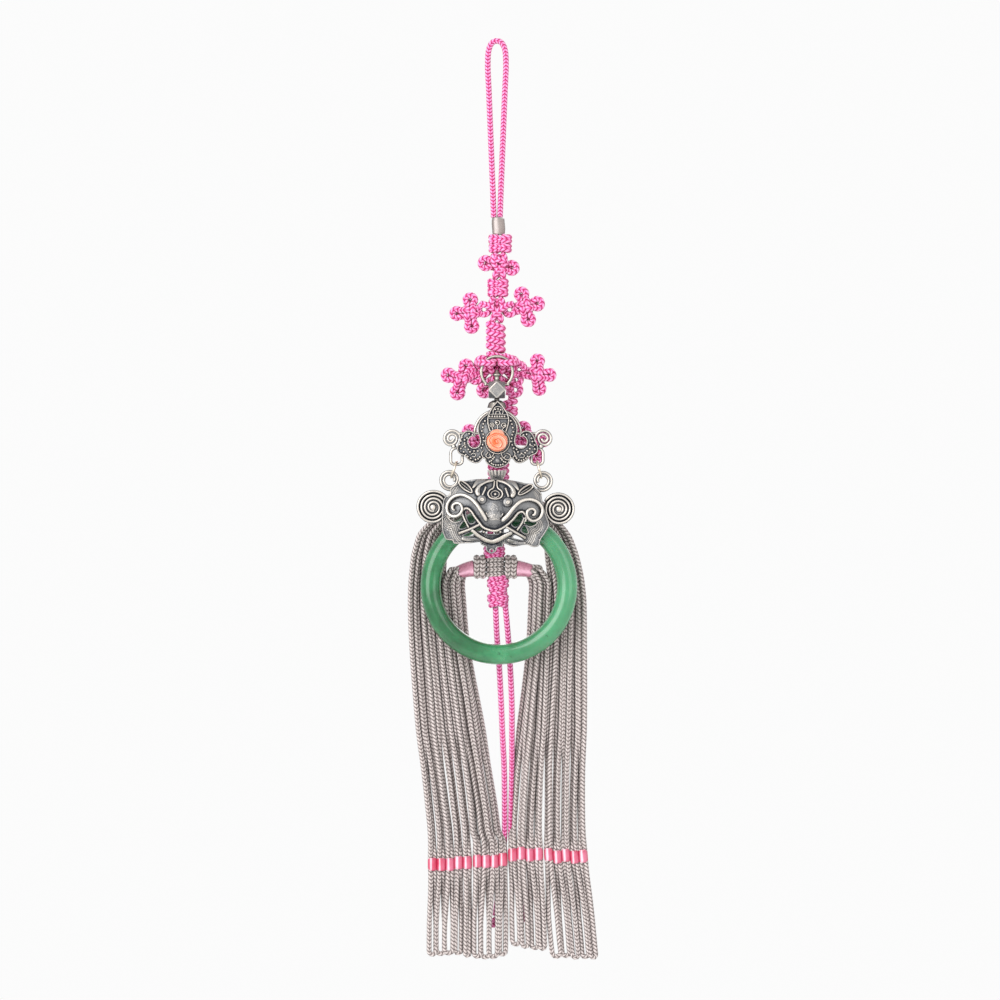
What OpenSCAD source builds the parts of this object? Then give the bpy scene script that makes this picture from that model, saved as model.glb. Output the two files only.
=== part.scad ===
// Norigae: a knotted hanging ornament with two cord tassels,
// a two-part silver pendant and a jade ring.
// The origin is the top of the hanging loop, the front faces -Y, Z is up.

/* [Cord] */
// Diameter of the braided cord
cord_d = 2.2; // [1.8:0.1:2.6]

/* [Binding] */
// Width of the thread binding over the two legs of the loop
binding_w = 5.1; // [4.8:0.1:6]
// Depth of the thread binding
binding_depth = 3.4; // [2.8:0.1:4]
// Height of the thread binding
binding_h = 6.4; // [5:0.2:8]

/* [Knots] */
// Depth of the knotted work from front to back
knot_depth = 5.2; // [4.2:0.2:6]
// Width of the collar under the binding
upper_collar_w = 9.6; // [8:0.2:11]
// Width of the core of the ear knot
ear_core_w = 6.6; // [5.6:0.2:8]
// Outer radius of an ear
ear_r = 3.4; // [2.8:0.1:4]
// Width of the collar over the first flower knot
middle_collar_w = 8.8; // [7:0.2:10]
// Width of the core of a flower knot
flower_core_w = 6.4; // [5.4:0.2:8]
// Width of the double collar between the flower knots
lower_collar_w = 8.4; // [7:0.2:10]
// Outer radius of one petal of a flower knot
petal_r = 3.3; // [2.8:0.1:3.6]
// Width of the collars behind the silver
column_w = 8.9; // [7:0.2:10]
// Gap between neighbouring knots
knot_gap = 0.12; // [0.05:0.01:0.25]

/* [Hanger] */
// Outer diameter of the hanger ring
hanger_d = 13.2; // [12:0.2:15]
// Wire of the hanger ring
hanger_wire = 1.2; // [0.9:0.1:1.4]
// Width of the faceted bead
bead_w = 6.4; // [5.8:0.2:7.2]
// Height of the faceted bead
bead_h = 6.8; // [6.2:0.2:7.6]
// Diameter of the pins of the hanger ring in the bead
pin_d = 0.9; // [0.7:0.05:1.1]
// Clearance round each pin
pin_gap = 0.06; // [0.04:0.01:0.12]
// Height of the finial on the bead
finial_h = 4.2; // [3.4:0.2:5]
// Reach of the lotus petals under the bead
lotus_cap_w = 7.4; // [6.4:0.2:8.4]

/* [Upper plate] */
// Width of the upper plate over its wings
upper_w = 31.2; // [28:0.4:34]
// Height of the upper plate from the arch to the foot
upper_h = 25.9; // [23:0.3:28]
// Rise of the upper plate at its middle
upper_rise = 3.4; // [2.4:0.2:4.2]
// Thickness of the sheet silver
sheet = 1; // [0.8:0.1:1.4]
// Diameter of a granule
granule_d = 0.9; // [0.7:0.1:1.1]
// Diameter of the coral rose
rose_d = 8.4; // [7.4:0.2:9.2]
// Height of the coral rose over its setting
rose_h = 4.2; // [3.4:0.2:5]

/* [Wire frame] */
// Wire behind the upper plate
frame_wire = 1.15; // [0.9:0.05:1.3]
// Outer radius of a spiral beside the upper plate
small_spiral_r = 3.6; // [3.2:0.1:4]
// Width of an oval loop
oval_w = 5.6; // [5:0.2:6.4]
// Height of an oval loop
oval_h = 7.4; // [6.6:0.2:8.2]
// Width between the two oval loops
oval_span = 31.4; // [30:0.2:33]

/* [Jump rings] */
// Outer diameter of a jump ring
jump_d = 7.3; // [6.8:0.1:7.8]
// Wire of a jump ring
jump_wire = 0.95; // [0.8:0.05:1.1]
// Lean of the jump rings away from the middle
jump_lean = 14; // [0:1:18]

/* [Beast plate] */
// Width of the beast plate
beast_w = 41.8; // [39:0.2:45]
// Height of the beast plate without its tab
beast_h = 25.6; // [24:0.2:28]
// Rise of the mask at its middle
beast_rise = 6.2; // [5:0.2:7.4]
// Turn of the mask as it hangs, seen from the front
beast_turn = 1.2; // [0:0.1:2]
// Outer radius of an ear curl
curl_r = 4; // [3.6:0.1:4.4]
// Radius of the hole in an ear curl
curl_hole_r = 1.7; // [1.5:0.05:1.9]
// Thickness of an ear curl
curl_t = 1.5; // [1.2:0.1:1.8]
// Outer radius of a side spiral
side_spiral_r = 6.35; // [5.8:0.05:6.8]
// Wire of a side spiral
side_wire = 1.2; // [1:0.05:1.24]
// Wire of a whisker at its thickest
whisker_wire = 1.3; // [1:0.1:1.5]
// Width of the lotus cup
cup_w = 7.5; // [6.5:0.25:8.5]
// Height of the bowl of the lotus cup
cup_h = 2.6; // [2.2:0.1:2.8]

/* [Jade ring] */
// Outer diameter of the jade ring
jade_d = 60; // [56:1:64]
// Width of the jade from the inside to the outside of the ring
jade_w = 7.8; // [7:0.2:8.6]
// Depth of the jade from front to back
jade_depth = 6.5; // [5.5:0.25:7]
// Diameter of the peg that the jade ring hangs on
hook_d = 2; // [1.6:0.1:2.4]

/* [Tassels] */
// Half width of the tassels where they are widest
tassel_half = 34; // [31:0.5:37]
// Length of the tassels from the upper barrel to the loops
tassel_len = 175; // [160:1:190]
// Depth of a tassel
tassel_depth = 4.4; // [3.8:0.2:5]
// Height of a tassel barrel
barrel_h = 8.6; // [7.6:0.2:9.6]
// Width of the lower tassel barrel
barrel_w = 16.8; // [15:0.2:19]
// Depth of a tassel barrel
barrel_depth = 6.4; // [5.4:0.2:6.8]

/* [Hidden] */
$fn = 48;

pink = "hotpink";
grey = "darkgray";
silver = "silver";

// Depth planes
root_front = -3.6;                                   // nothing on the cord reaches further forward, but the front loop
jade_back = root_front - 1.6;
jade_y = jade_back - jade_depth/2;                   // middle of the jade ring
beast_y = jade_back - jade_depth - side_wire - 0.5;  // back rim of the beast plate
hang_y = -11;                                        // wire frame, jump rings and ear curls
bead_y = -8.2;                                       // bead and hanger ring
upper_y = hang_y - frame_wire/2 - 0.05;              // back rim of the upper plate

// Levels down the cord, each taken from the one above
binding_top = -69.2;
upper_collar_top = binding_top - binding_h - knot_gap;
upper_collar_h = 6.8;
ear_top = upper_collar_top - upper_collar_h - knot_gap;
ear_h = 10;
middle_collar_top = ear_top - ear_h - knot_gap;
middle_collar_h = 6.7;
upper_flower_top = middle_collar_top - middle_collar_h - knot_gap;
upper_flower_h = 9.6;
lower_collar_top = upper_flower_top - upper_flower_h - knot_gap;
lower_collar_h = 11.4;
lower_flower_top = lower_collar_top - lower_collar_h - knot_gap;
lower_flower_h = 25.2;
hidden_flower_top = lower_flower_top - lower_flower_h - knot_gap;
hidden_flower_h = 16.8;
column_top = hidden_flower_top - hidden_flower_h - knot_gap;
column_h = 12.6;
upper_barrel_top = column_top - column_h - knot_gap;
chin_collar_top = upper_barrel_top - 19.2;
chin_collar_h = 4.6;
lower_barrel_top = chin_collar_top - chin_collar_h + 1.1;
tail_stack_top = lower_barrel_top - barrel_h - knot_gap + 0.6;
tail_stack_h = 12;
tail_top = tail_stack_top - tail_stack_h - knot_gap;

// Levels of the hanging metal
hanger_z = lower_flower_top - 7.9;                   // middle of the hanger ring
hanger_mid_r = (hanger_d - hanger_wire)/2;
pin_z = hanger_z - 4.75;                             // pins in the bead
bead_z = pin_z - 1.95;
upper_x = 0.3;
upper_z = bead_z - bead_h/2 - 1.1 - upper_h*0.6;     // middle of the rose
oval_bottom_z = upper_z - 8.6;                       // middle of the wire at the foot of the oval loops
jump_mid_r = (jump_d - jump_wire)/2;
jump_top_gap = 0.12;
jump_z = oval_bottom_z + frame_wire/2 + jump_top_gap + jump_wire/2 - jump_mid_r*cos(jump_lean) - 0.1;
beast_x = -0.8;
curl_x = oval_span/2 + 2*jump_mid_r*sin(jump_lean);
curl_z = oval_bottom_z - 2*jump_mid_r*cos(jump_lean) + frame_wire/2 + jump_wire/2;
beast_z = curl_z - beast_h*0.496;                    // middle of the mask
beast_top = beast_z + beast_h*0.484;
jade_r = jade_d/2 - jade_w/2;
hook_x = 0.8;
hook_z = beast_z - 7.7;
jade_z = hook_z + hook_d/2 + 0.1 - (jade_d/2 - jade_w);

// Helpers
function unit(v) = v/norm(v);
function catmull(a, b, c, d, t) = 0.5*((2*b) + (c - a)*t + (2*a - 5*b + 4*c - d)*t*t + (3*b - a - 3*c + d)*t*t*t);
function at(p, i) = p[min(max(i, 0), len(p) - 1)];
// A smooth line through the points, n steps from each to the next
function smooth(p, n) = concat([for (i = [0:len(p) - 2], k = [0:n - 1]) catmull(at(p, i - 1), p[i], p[i + 1], at(p, i + 2), k/n)], [p[len(p) - 1]]);
function tangent(p, i) = unit(at(p, i + 1) - at(p, i - 1));
function ring_at(p, i, r, sides, deep) = let (t = tangent(p, i), s = unit(cross(t, [0, 1, 0])), u = cross(s, t))
    [for (k = [0:sides - 1]) p[i] + r*cos(360*k/sides)*s + r*deep*sin(360*k/sides)*u];

// A round or flattened tube along a line of points, with a radius for each point
module tube(p, r, sides = 8, deep = 1) {
    n = len(p);
    polyhedron(
        points = [for (i = [0:n - 1], q = ring_at(p, i, is_list(r) ? r[i] : r, sides, deep)) q],
        faces = concat(
            [[for (k = [sides - 1:-1:0]) k]],
            [for (i = [0:n - 2], k = [0:sides - 1]) [i*sides + k, i*sides + (k + 1)%sides, (i + 1)*sides + (k + 1)%sides, (i + 1)*sides + k]],
            [[for (k = [0:sides - 1]) (n - 1)*sides + k]]));
}

// A full ring or a piece of one, in the plane seen from the front
module front_ring(r, wire) rotate([90, 0, 0]) rotate_extrude() translate([r, 0]) circle(d = wire);
module front_arc(r, wire, from, sweep) rotate([90, 0, 0]) rotate([0, 0, from]) rotate_extrude(angle = sweep) translate([r, 0]) circle(d = wire);

// A flat spiral of half turns, as many as fit; the outer end lies at the given side
function half_turns(outer_r, wire, pitch) = floor((outer_r - wire*1.1)/(pitch/2)) + 1;
module wire_spiral(outer_r, wire, pitch, side = 1)
    mirror([side < 0 ? 1 : 0, 0, 0])
    for (k = [0:half_turns(outer_r, wire, pitch) - 1]) {
        r = outer_r - wire/2 - k*pitch/2;
        shift = k%2 == 0 ? 0 : pitch/2;
        translate([-shift, 0, 0]) front_arc(r, wire, k%2 == 0 ? 0 : 180, 180);
    }

// One cord coil seen from the front: a flattened bead of cord
module coil(w, h, depth = knot_depth)
    hull() for (s = [-1, 1]) translate([s*(w - depth*0.9)/2, 0, 0]) scale([depth*0.9, depth, h*1.12]) sphere(d = 1, $fn = 8);

// Coils on top of each other from z = 0 down
module coils(n, w, h, depth = knot_depth)
    for (k = [0:n - 1]) translate([0, 0, -h/n*(k + 0.5)]) coil(w*(k%2 == 0 ? 1 : 0.95), h/n*0.98, depth);

// One loop of a flower knot
module petal(r) rotate([90, 0, 0]) rotate_extrude($fn = 10) translate([r - cord_d/2 - 0.1, 0]) circle(d = cord_d + 0.2, $fn = 5);
module link(a, b, d = cord_d) hull() { translate(a) sphere(d = d, $fn = 6); translate(b) sphere(d = d, $fn = 6); }
// Petals round a middle; each row is [angle, reach, size share]
module flower(rows) {
    for (q = rows) translate([q[1]*cos(q[0]), 0, q[1]*sin(q[0])]) petal(petal_r*q[2]);
    scale([1, 0.6, 1]) sphere(r = cord_d*1.3, $fn = 6);
}

// Cord work
// The loop is wider at the top and its legs meet in the binding
loop_route = [[1.2, 0, -69], [1.5, 0, -60], [1.9, 0, -50], [2.3, 0, -40], [2.7, 0, -30], [3.1, 0, -20], [3.5, 0, -11], [3.2, 0, -5], [1.9, 0, -1.9],
    [0, 0, -1.1], [-1.9, 0, -1.9], [-3.2, 0, -5], [-3.5, 0, -11], [-3.1, 0, -20], [-2.7, 0, -30], [-2.3, 0, -40], [-1.9, 0, -50], [-1.5, 0, -60], [-1.2, 0, -69]];
module hanging_loop() color(pink) tube(smooth(loop_route, 1), cord_d/2, 8);

module loop_binding() color(grey)
    translate([0.6, 0, binding_top - binding_h]) difference() {
        union() {
            for (s = [-1, 1]) translate([s*(binding_w - binding_depth)/2, 0, 0]) cylinder(d = binding_depth, h = binding_h);
            translate([-(binding_w - binding_depth)/2, -binding_depth/2 + 0.02, 0]) cube([binding_w - binding_depth, binding_depth - 0.04, binding_h]);
        }
        for (k = [1:5]) translate([-binding_w, -binding_depth/2 - 0.5, binding_h*k/6]) cube([binding_w*2, 0.65, 0.25]);
    }

module upper_collar() color(pink) translate([1.3, 0, upper_collar_top]) {
    coils(2, upper_collar_w, upper_collar_h);
    for (k = [0:1]) link([-2 + k*4, 0, -upper_collar_h*0.3], [-2 + k*4, 0, -upper_collar_h*0.7]);
}

module ear_knot() color(pink) translate([1, 0, ear_top]) {
    coils(3, ear_core_w, ear_h);
    for (q = [[-5.3, -4.6], [5.1, -5.6]]) translate([q[0], 0, q[1]]) petal(ear_r);
    for (k = [-1, 1]) for (h = [-0.35, -0.65]) link([0, 0, ear_h*h], [k*3, 0, ear_h*h - 0.4*k]);
}

module middle_collar() color(pink) translate([0.4, 0, middle_collar_top]) {
    coils(3, middle_collar_w, middle_collar_h);
    for (k = [0:1]) link([-1.6 + k*3.2, 0, -middle_collar_h*0.2], [-1.6 + k*3.2, 0, -middle_collar_h*0.8]);
}

module upper_flower_knot() color(pink) translate([0, 0, upper_flower_top]) {
    coils(3, flower_core_w, upper_flower_h);
    for (s = [-1, 1]) translate([s*(flower_core_w/2 + 1.5), 0, -4.8]) petal(petal_r);
    link([-6, 0, -5.4], [-9, 0, -6.2]);
    link([6, 0, -4.2], [9.6, 0, -3]);
    link([-2, 0, -3], [2, 0, -3]);
    link([-2, 0, -6], [2, 0, -6]);
    link([-1, 0, -3], [-1, 0, -7]);
    translate([-10.2, 0, -6.2]) flower([[88, 4.8, 1], [185, 4.9, 0.95], [290, 4.9, 0.95]]);
    translate([10.6, 0, -3]) flower([[118, 4.6, 1], [17, 4.6, 1], [294, 5.4, 1]]);
}

module lower_collar() color(pink) translate([-0.5, 0, lower_collar_top]) {
    coils(4, lower_collar_w, lower_collar_h);
    for (k = [0:1]) link([-1.6 + k*3, 0, -lower_collar_h*0.2], [-1.6 + k*3, 0, -lower_collar_h*0.8]);
}

// The front loop passes through the hanger ring and back to the core
module lower_flower_knot() color(pink) translate([0, 0, lower_flower_top]) {
    coils(3, flower_core_w, 12.4);
    translate([0, 0, 0]) coils(1, lower_collar_w, 3.6);
    translate([-5.8, 0, -4.4]) petal(petal_r);
    translate([5.4, 0, -4.6]) petal(petal_r*0.9);
    link([-6.4, 0, -6.6], [-10.6, 0, -10]);
    link([6.6, 0, -6], [15.4, 0, -8.8]);
    translate([-13.5, 0, -11]) flower([[72, 5.2, 1], [162, 5.4, 1], [250, 5, 1]]);
    translate([15.4, 0, -8.8]) flower([[88, 5.2, 0.94], [0, 4.7, 0.88], [282, 5.4, 0.9]]);
    translate([-4.9, 0, -14.8]) petal(petal_r*0.9);
    translate([7, 0, -14.6]) petal(petal_r);
    link([-2, 0, -11.5], [-4, 0, -13]);
    link([2, 0, -11.5], [5, 0, -13]);
    link([5.4, 0, -16.5], [5.4, 0, -18.5]);
    translate([5, 0, -18]) coils(2, 6, 7.2, knot_depth*0.94);
    // front loop
    link([-2.4, -1, -4], [-2.4, bead_y - hanger_wire/2 - cord_d/2 - 0.35, -4.4], cord_d*0.95);
    link([2.4, -1, -4], [2.4, bead_y - hanger_wire/2 - cord_d/2 - 0.35, -4.4], cord_d*0.95);
    link([-2.4, bead_y - hanger_wire/2 - cord_d/2 - 0.35, -4.4], [2.4, bead_y - hanger_wire/2 - cord_d/2 - 0.35, -4.4], cord_d*0.95);
    link([-7, bead_y - hanger_wire/2 - cord_d/2 - 0.35, -4.2], [-2.4, bead_y - hanger_wire/2 - cord_d/2 - 0.35, -4.4], cord_d*0.95);
    link([2.4, bead_y - hanger_wire/2 - cord_d/2 - 0.35, -4.4], [7, bead_y - hanger_wire/2 - cord_d/2 - 0.35, -4.2], cord_d*0.95);
}

module hidden_flower_knot() color(pink) translate([0, 0, hidden_flower_top]) {
    translate([3, 0, 0]) coils(2, 6.4, 6);
    translate([0.6, 0, -5.6]) coils(3, flower_core_w + 1.2, 11.2);
    link([-2, 0, -7.5], [-8, 0, -8.6]);
    link([2, 0, -7.5], [10, 0, -7.6]);
    link([-7, 0, -8.6], [-10, 0, -8.6]);
    translate([-10.4, 0, -9]) flower([[100, 3.6, 0.92], [-90, 3.6, 0.9]]);
    translate([13.2, 0, -8.4]) flower([[120, 4.6, 1], [-4, 4.9, 0.96], [-66, 6.6, 0.96]]);
}

module knot_column() color(pink) translate([0.6, 0, column_top]) {
    coils(4, column_w, column_h);
    for (k = [0:1]) link([-1.6 + k*3, 0, -column_h*0.2], [-1.6 + k*3, 0, -column_h*0.8]);
}

module chin_collar() color(pink) translate([-1, 0, chin_collar_top]) {
    coils(2, column_w, chin_collar_h - 1.4);
    for (k = [0:1]) link([-1.6 + k*3, 0, -0.8], [-1.6 + k*3, 0, -2.2]);
}

module tail_knot_stack() color(pink) translate([0.4, 0, tail_stack_top]) {
    coils(4, column_w - 0.6, tail_stack_h);
    for (k = [0:1]) link([-1.6 + k*3, 0, -tail_stack_h*0.2], [-1.6 + k*3, 0, -tail_stack_h*0.8]);
}

left_tail_route = [[-0.5, 0, -219], [0, 0, -230], [0.8, 0, -240], [1.6, 0, -255], [2.2, 1.4, -269], [2.8, 3.6, -281], [3, 3.8, -296], [2.9, 3.8, -308],
    [2, 3.8, -318], [0.6, 3.8, -328], [-0.6, 3.8, -338]];
right_tail_route = [[3.3, 0, -219], [4.3, 0, -230], [5, 0, -240], [5.7, 0, -255], [5.8, 1.4, -269], [5.8, 3.6, -281], [5.5, 3.8, -296], [5.4, 3.8, -308],
    [6.6, 3.8, -318], [8.6, 3.8, -328], [10.2, 3.8, -336]];
module left_tail() color(pink) tube(smooth(left_tail_route, 1), cord_d/2, 8);
module right_tail() color(pink) tube(smooth(right_tail_route, 1), cord_d/2, 8);
module end_knot() { for (k = [0:1]) translate([0, 0, -1.7 - 1.5*k]) sphere(r = 1.8); translate([0, 0, -0.5]) cylinder(r = 1.15, h = 1, center = true); }
module left_tail_knot() color(pink) translate([-0.7, 4.2, -338]) end_knot();
module right_tail_knot() color(pink) translate([10.3, 4.2, -336]) end_knot();

// Tassels
// Shares of tassel_len down, tassel_half for the outermost pair, and tassel_half for the step to the next pair
left_outer = [[0.04, 0.62, 0.05], [0.075, 0.86, 0.065], [0.15, 0.945, 0.075], [0.23, 0.953, 0.079], [0.35, 0.93, 0.084], [0.52, 0.86, 0.091], [0.67, 0.774, 0.096],
    [0.78, 0.73, 0.098], [1, 0.73, 0.098]];
left_inner = [[0.165, 0.50, 0.045], [0.19, 0.56, 0.05], [0.23, 0.555, 0.052], [0.35, 0.508, 0.056], [0.52, 0.397, 0.073], [0.67, 0.281, 0.086], [0.78, 0.222, 0.096],
    [0.985, 0.222, 0.096]];
right_outer = [[0.04, 0.62, 0.05], [0.075, 0.86, 0.065], [0.15, 0.943, 0.075], [0.23, 0.953, 0.078], [0.35, 0.96, 0.083], [0.52, 0.96, 0.089], [0.67, 0.957, 0.093],
    [0.78, 0.97, 0.0965], [0.89, 1.03, 0.1], [1, 1.1, 0.104]];
right_inner = [[0.165, 0.47, 0.045], [0.19, 0.56, 0.05], [0.23, 0.561, 0.05], [0.35, 0.542, 0.055], [0.52, 0.503, 0.077], [0.67, 0.475, 0.09], [0.78, 0.469, 0.097],
    [0.89, 0.495, 0.098], [0.985, 0.52, 0.1]];

// Bound pairs side by side in one sheet with rounded fronts and backs
function lock_edge(q, count, side, x0, j, m) = x0 + side*tassel_half*(q[1] + q[2]*(0.54 - 1.0*j/m - (j == count*m ? 0.08 : 0)));
function lock_y(j, m) = tassel_depth/2*(0.62 + 0.38*sin(180*(j%m)/m));
module locks(table, count, side, x0, top, m = 2) {
    rows = concat(table, [[at(table, 99)[0] + 0.008, at(table, 99)[1], at(table, 99)[2]]]);
    n = len(rows);
    c = 2*(count*m + 1);
    points = [for (i = [0:n - 1]) let (flat = i == n - 1 ? 0.45 : 1, z = top - tassel_len*rows[i][0])
        for (j = [0:c - 1]) let (f = j < c/2 ? j : c - 1 - j) [lock_edge(rows[i], count, side, x0, f, m), (j < c/2 ? -1 : 1)*lock_y(f, m)*flat, z]];
    flip = side < 0;
    faces = concat([[for (k = [0:c - 1]) k]],
        [for (i = [0:n - 2], k = [0:c - 1]) let (a = i*c + k, b = i*c + (k + 1)%c, d = a + c, e = b + c) for (t = [[a, d, b], [b, d, e]]) t],
        [[for (k = [c - 1:-1:0]) (n - 1)*c + k]]);
    polyhedron(points = points, faces = flip ? [for (f = faces) [for (k = [len(f) - 1:-1:0]) f[k]]] : faces);
}

// Barrel of wound cord: outer coils stand, the middle ones lie
module barrel(w) {
    for (s = [-1, 1], k = [0, 1]) translate([s*(w/2 - 1.4 - 2.5*k), 0, 0])
        hull() for (t = [-1, 1]) translate([0, 0, t*(barrel_h/2 - 1.4)]) scale([2.8, barrel_depth, 2.8]) sphere(d = 1, $fn = 6);
    for (k = [-1:1]) translate([0, 0, k*2.2])
        hull() for (t = [-1, 1]) translate([t*(w/2 - 6), 0, 0]) scale([2.6, barrel_depth*0.96, 2.6]) sphere(d = 1, $fn = 6);
}
module wrap(side, x1, x2, z2) hull() {
    translate([side*x1, 0, 0]) sphere(d = barrel_h*0.7, $fn = 6);
    translate([side*x2, 0, z2]) sphere(d = barrel_h*0.56, $fn = 6);
}

module upper_tassel() color(grey) {
    difference() {
        union() {
            translate([0, 0, upper_barrel_top - barrel_h/2]) { barrel(barrel_w); for (s = [-1, 1]) wrap(s, barrel_w/2, tassel_half*0.46, -1.6); }
            for (s = [-1, 1]) translate([0, 0, upper_barrel_top - barrel_h/2])
                hull() { translate([s*tassel_half*0.46, 0, -1.6]) sphere(d = tassel_depth, $fn = 6); translate([s*tassel_half*0.72, 0, -4.4]) scale([2, 1, 1]) sphere(d = tassel_depth, $fn = 6); }
            locks(left_outer, 5, -1, 0, upper_barrel_top);
            locks(right_outer, 5, 1, 0, upper_barrel_top);
        }
    }
}

module lower_tassel() color(grey) translate([0, 0, 0]) {
    translate([-0.6, 0, lower_barrel_top - barrel_h/2]) {
        barrel(barrel_w);
        wrap(-1, barrel_w/2, tassel_half*0.42, -1.8);
        wrap(1, barrel_w/2, tassel_half*0.42, -0.8);
        hull() { translate([-tassel_half*0.42, 0, -1.8]) sphere(d = tassel_depth, $fn = 6); translate([-tassel_half*0.5, 0, -5.5]) scale([1.8, 1, 1]) sphere(d = tassel_depth, $fn = 6); }
        hull() { translate([tassel_half*0.42, 0, -0.8]) sphere(d = tassel_depth, $fn = 6); translate([tassel_half*0.5, 0, -5.5]) scale([1.8, 1, 1]) sphere(d = tassel_depth, $fn = 6); }
    }
    locks(left_inner, 4, -1, 0, upper_barrel_top);
    locks(right_inner, 4, 1, 0, upper_barrel_top);
}

// Pendant
module hanger_ring() color(silver) translate([0, bead_y, hanger_z]) {
    gap_a = acos((bead_w/2 + 1.05)/hanger_mid_r);
    front_arc(hanger_mid_r, hanger_wire, -gap_a, 180 + 2*gap_a);
    for (s = [-1, 1]) {
        x = hanger_mid_r*cos(gap_a);
        z = -hanger_mid_r*sin(gap_a);
        translate([s*x, 0, z]) sphere(d = hanger_wire*1.03);
        translate([s*x, 0, pin_z - hanger_z]) sphere(d = hanger_wire*1.03);
        translate([s*x, 0, z - 0.01]) mirror([0, 0, z > pin_z - hanger_z ? 1 : 0]) cylinder(d = hanger_wire, h = max(abs(z - (pin_z - hanger_z)), 0.05));
        translate([s*(x + (bead_w/2 - 1.4))/2, 0, pin_z - hanger_z]) rotate([0, 90, 0]) cylinder(d = pin_d, h = x - (bead_w/2 - 1.4), center = true);
    }
}

// A cube with its corners cut back to the middles of its edges
module facet_bead() color(silver) translate([0, bead_y, bead_z]) {
    a = bead_w/2;
    h = bead_h/2;
    difference() {
        polyhedron(points = [[a, a, 0], [-a, a, 0], [-a, -a, 0], [a, -a, 0], [a, 0, h], [0, a, h], [-a, 0, h], [0, -a, h], [a, 0, -h], [0, a, -h], [-a, 0, -h], [0, -a, -h]],
            faces = [[4, 7, 6, 5], [8, 9, 10, 11], [3, 7, 4], [0, 4, 5], [1, 5, 6], [2, 6, 7], [3, 8, 11], [0, 9, 8], [1, 10, 9], [2, 11, 10],
                [2, 7, 3, 11], [0, 5, 1, 9], [3, 4, 0, 8], [1, 6, 2, 10]]);
        for (s = [-1, 1]) translate([s*a, 0, pin_z - bead_z]) rotate([0, 90, 0]) cylinder(d = pin_d + 2*pin_gap, h = 2*1.5, center = true);
        for (q = [[0, 0], [0, 1.55], [0, -1.55], [1.5, 0], [-1.5, 0]]) translate([q[0], -a, q[1]]) rotate([90, 0, 0])
            difference() { cylinder(r = 0.58, h = 0.3, center = true); cylinder(r = 0.42, h = 0.4, center = true); }
    }
    translate([0, 0, h - 0.3]) rotate_extrude() polygon([[0, 0], [1.8, 0], [1.8, 0.75], [1.15, 0.95], [0.95, 1.5], [1, finial_h*0.45], [1.75, finial_h*0.5], [1.6, finial_h*0.6], [0.5, finial_h + 0.1], [0, finial_h + 0.3]]);
    translate([0, 0, -h - 0.9]) cylinder(d = 2, h = 1.1);
}

// Four lotus petals under the bead
module lotus_cap() color(silver) translate([0, bead_y, bead_z - bead_h/2 - 1]) {
    for (k = [0:3]) rotate([0, 0, 45 + 90*k - 37]) rotate_extrude(angle = 74)
        polygon([[1.05, 0.1], [1.6, 0.2], [lotus_cap_w/2 - 0.6, -0.7], [lotus_cap_w/2, -2.6], [lotus_cap_w/2 - 0.5, -2.6], [lotus_cap_w/2 - 1.1, -1.3], [1.6, -0.6], [1.05, -0.6]]);
    translate([0, 0, -0.6]) difference() { cylinder(d = 3.4, h = 0.7); translate([0, 0, -1]) cylinder(d = 2.1, h = 3); }
}

// Outline of the upper plate, shares of its width and height in hundredths
function up(q) = [upper_w*q[0]/100, upper_h*q[1]/100];
cartouche = [[0, 60], [8, 53], [11.5, 45], [13, 37], [17, 36], [22.6, 28], [22.8, 0], [20, -22], [16, -30], [12.5, -33], [7, -37.5], [0, -39.5]];
module half_outline() {
    polygon([for (q = cartouche) up(q)]);
    difference() {
        union() {
            translate(up([34.5, 4])) circle(d = upper_w*0.205);
            translate(up([39.5, -10.5])) circle(d = upper_w*0.2);
            translate(up([28.5, -17.5])) circle(d = upper_w*0.235);
            translate(up([20, -24])) square([upper_w*0.1, upper_h*0.2]);
        }
        translate(up([28.5, -0.6])) circle(d = upper_w*0.15);
        polygon([for (q = [[23.4, 3], [23.4, 22], [28, 12], [29, 3]]) up(q)]);
    }
}
module outline() { half_outline(); mirror([1, 0]) half_outline(); }
upper_ball = (pow(upper_w*0.52, 2) + pow(upper_rise, 2))/(2*upper_rise);
function upper_face(x, z) = upper_y - upper_rise + upper_ball - sqrt(pow(upper_ball, 2) - x*x - z*z);

module upper_plate() color(silver) {
    translate([upper_x, 0, upper_z]) intersection() {
        translate([0, upper_y, 0]) rotate([90, 0, 0]) linear_extrude(height = upper_rise + 2) outline();
        translate([0, upper_y - upper_rise + upper_ball, 0]) difference() { sphere(r = upper_ball); sphere(r = upper_ball - sheet); }
    }
    // granules on the wings and the foot
    for (s = [-1, 1], q = [[34, 9.5], [39, 6], [41.5, -1], [36.5, -7], [32.5, -14.5], [27, -15.5], [25, -26], [29, -28.5], [33.5, -27.5], [17, 24], [19, 15], [19, 6], [19, -3]])
        translate([upper_x + s*upper_w*q[0]/100, upper_face(upper_w*q[0]/100, upper_h*q[1]/100), upper_z + upper_h*q[1]/100]) sphere(d = granule_d);
    for (k = [-3:3]) translate([upper_x + k*1.05, upper_face(k*1.05, upper_h*0.34), upper_z + upper_h*0.34]) sphere(d = granule_d);
    for (k = [-3:3]) translate([upper_x + k*1.1, upper_face(k*1.1, -upper_h*(0.35 - 0.006*abs(k)*abs(k))), upper_z - upper_h*(0.35 - 0.006*abs(k)*abs(k))]) sphere(d = granule_d);
}

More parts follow.
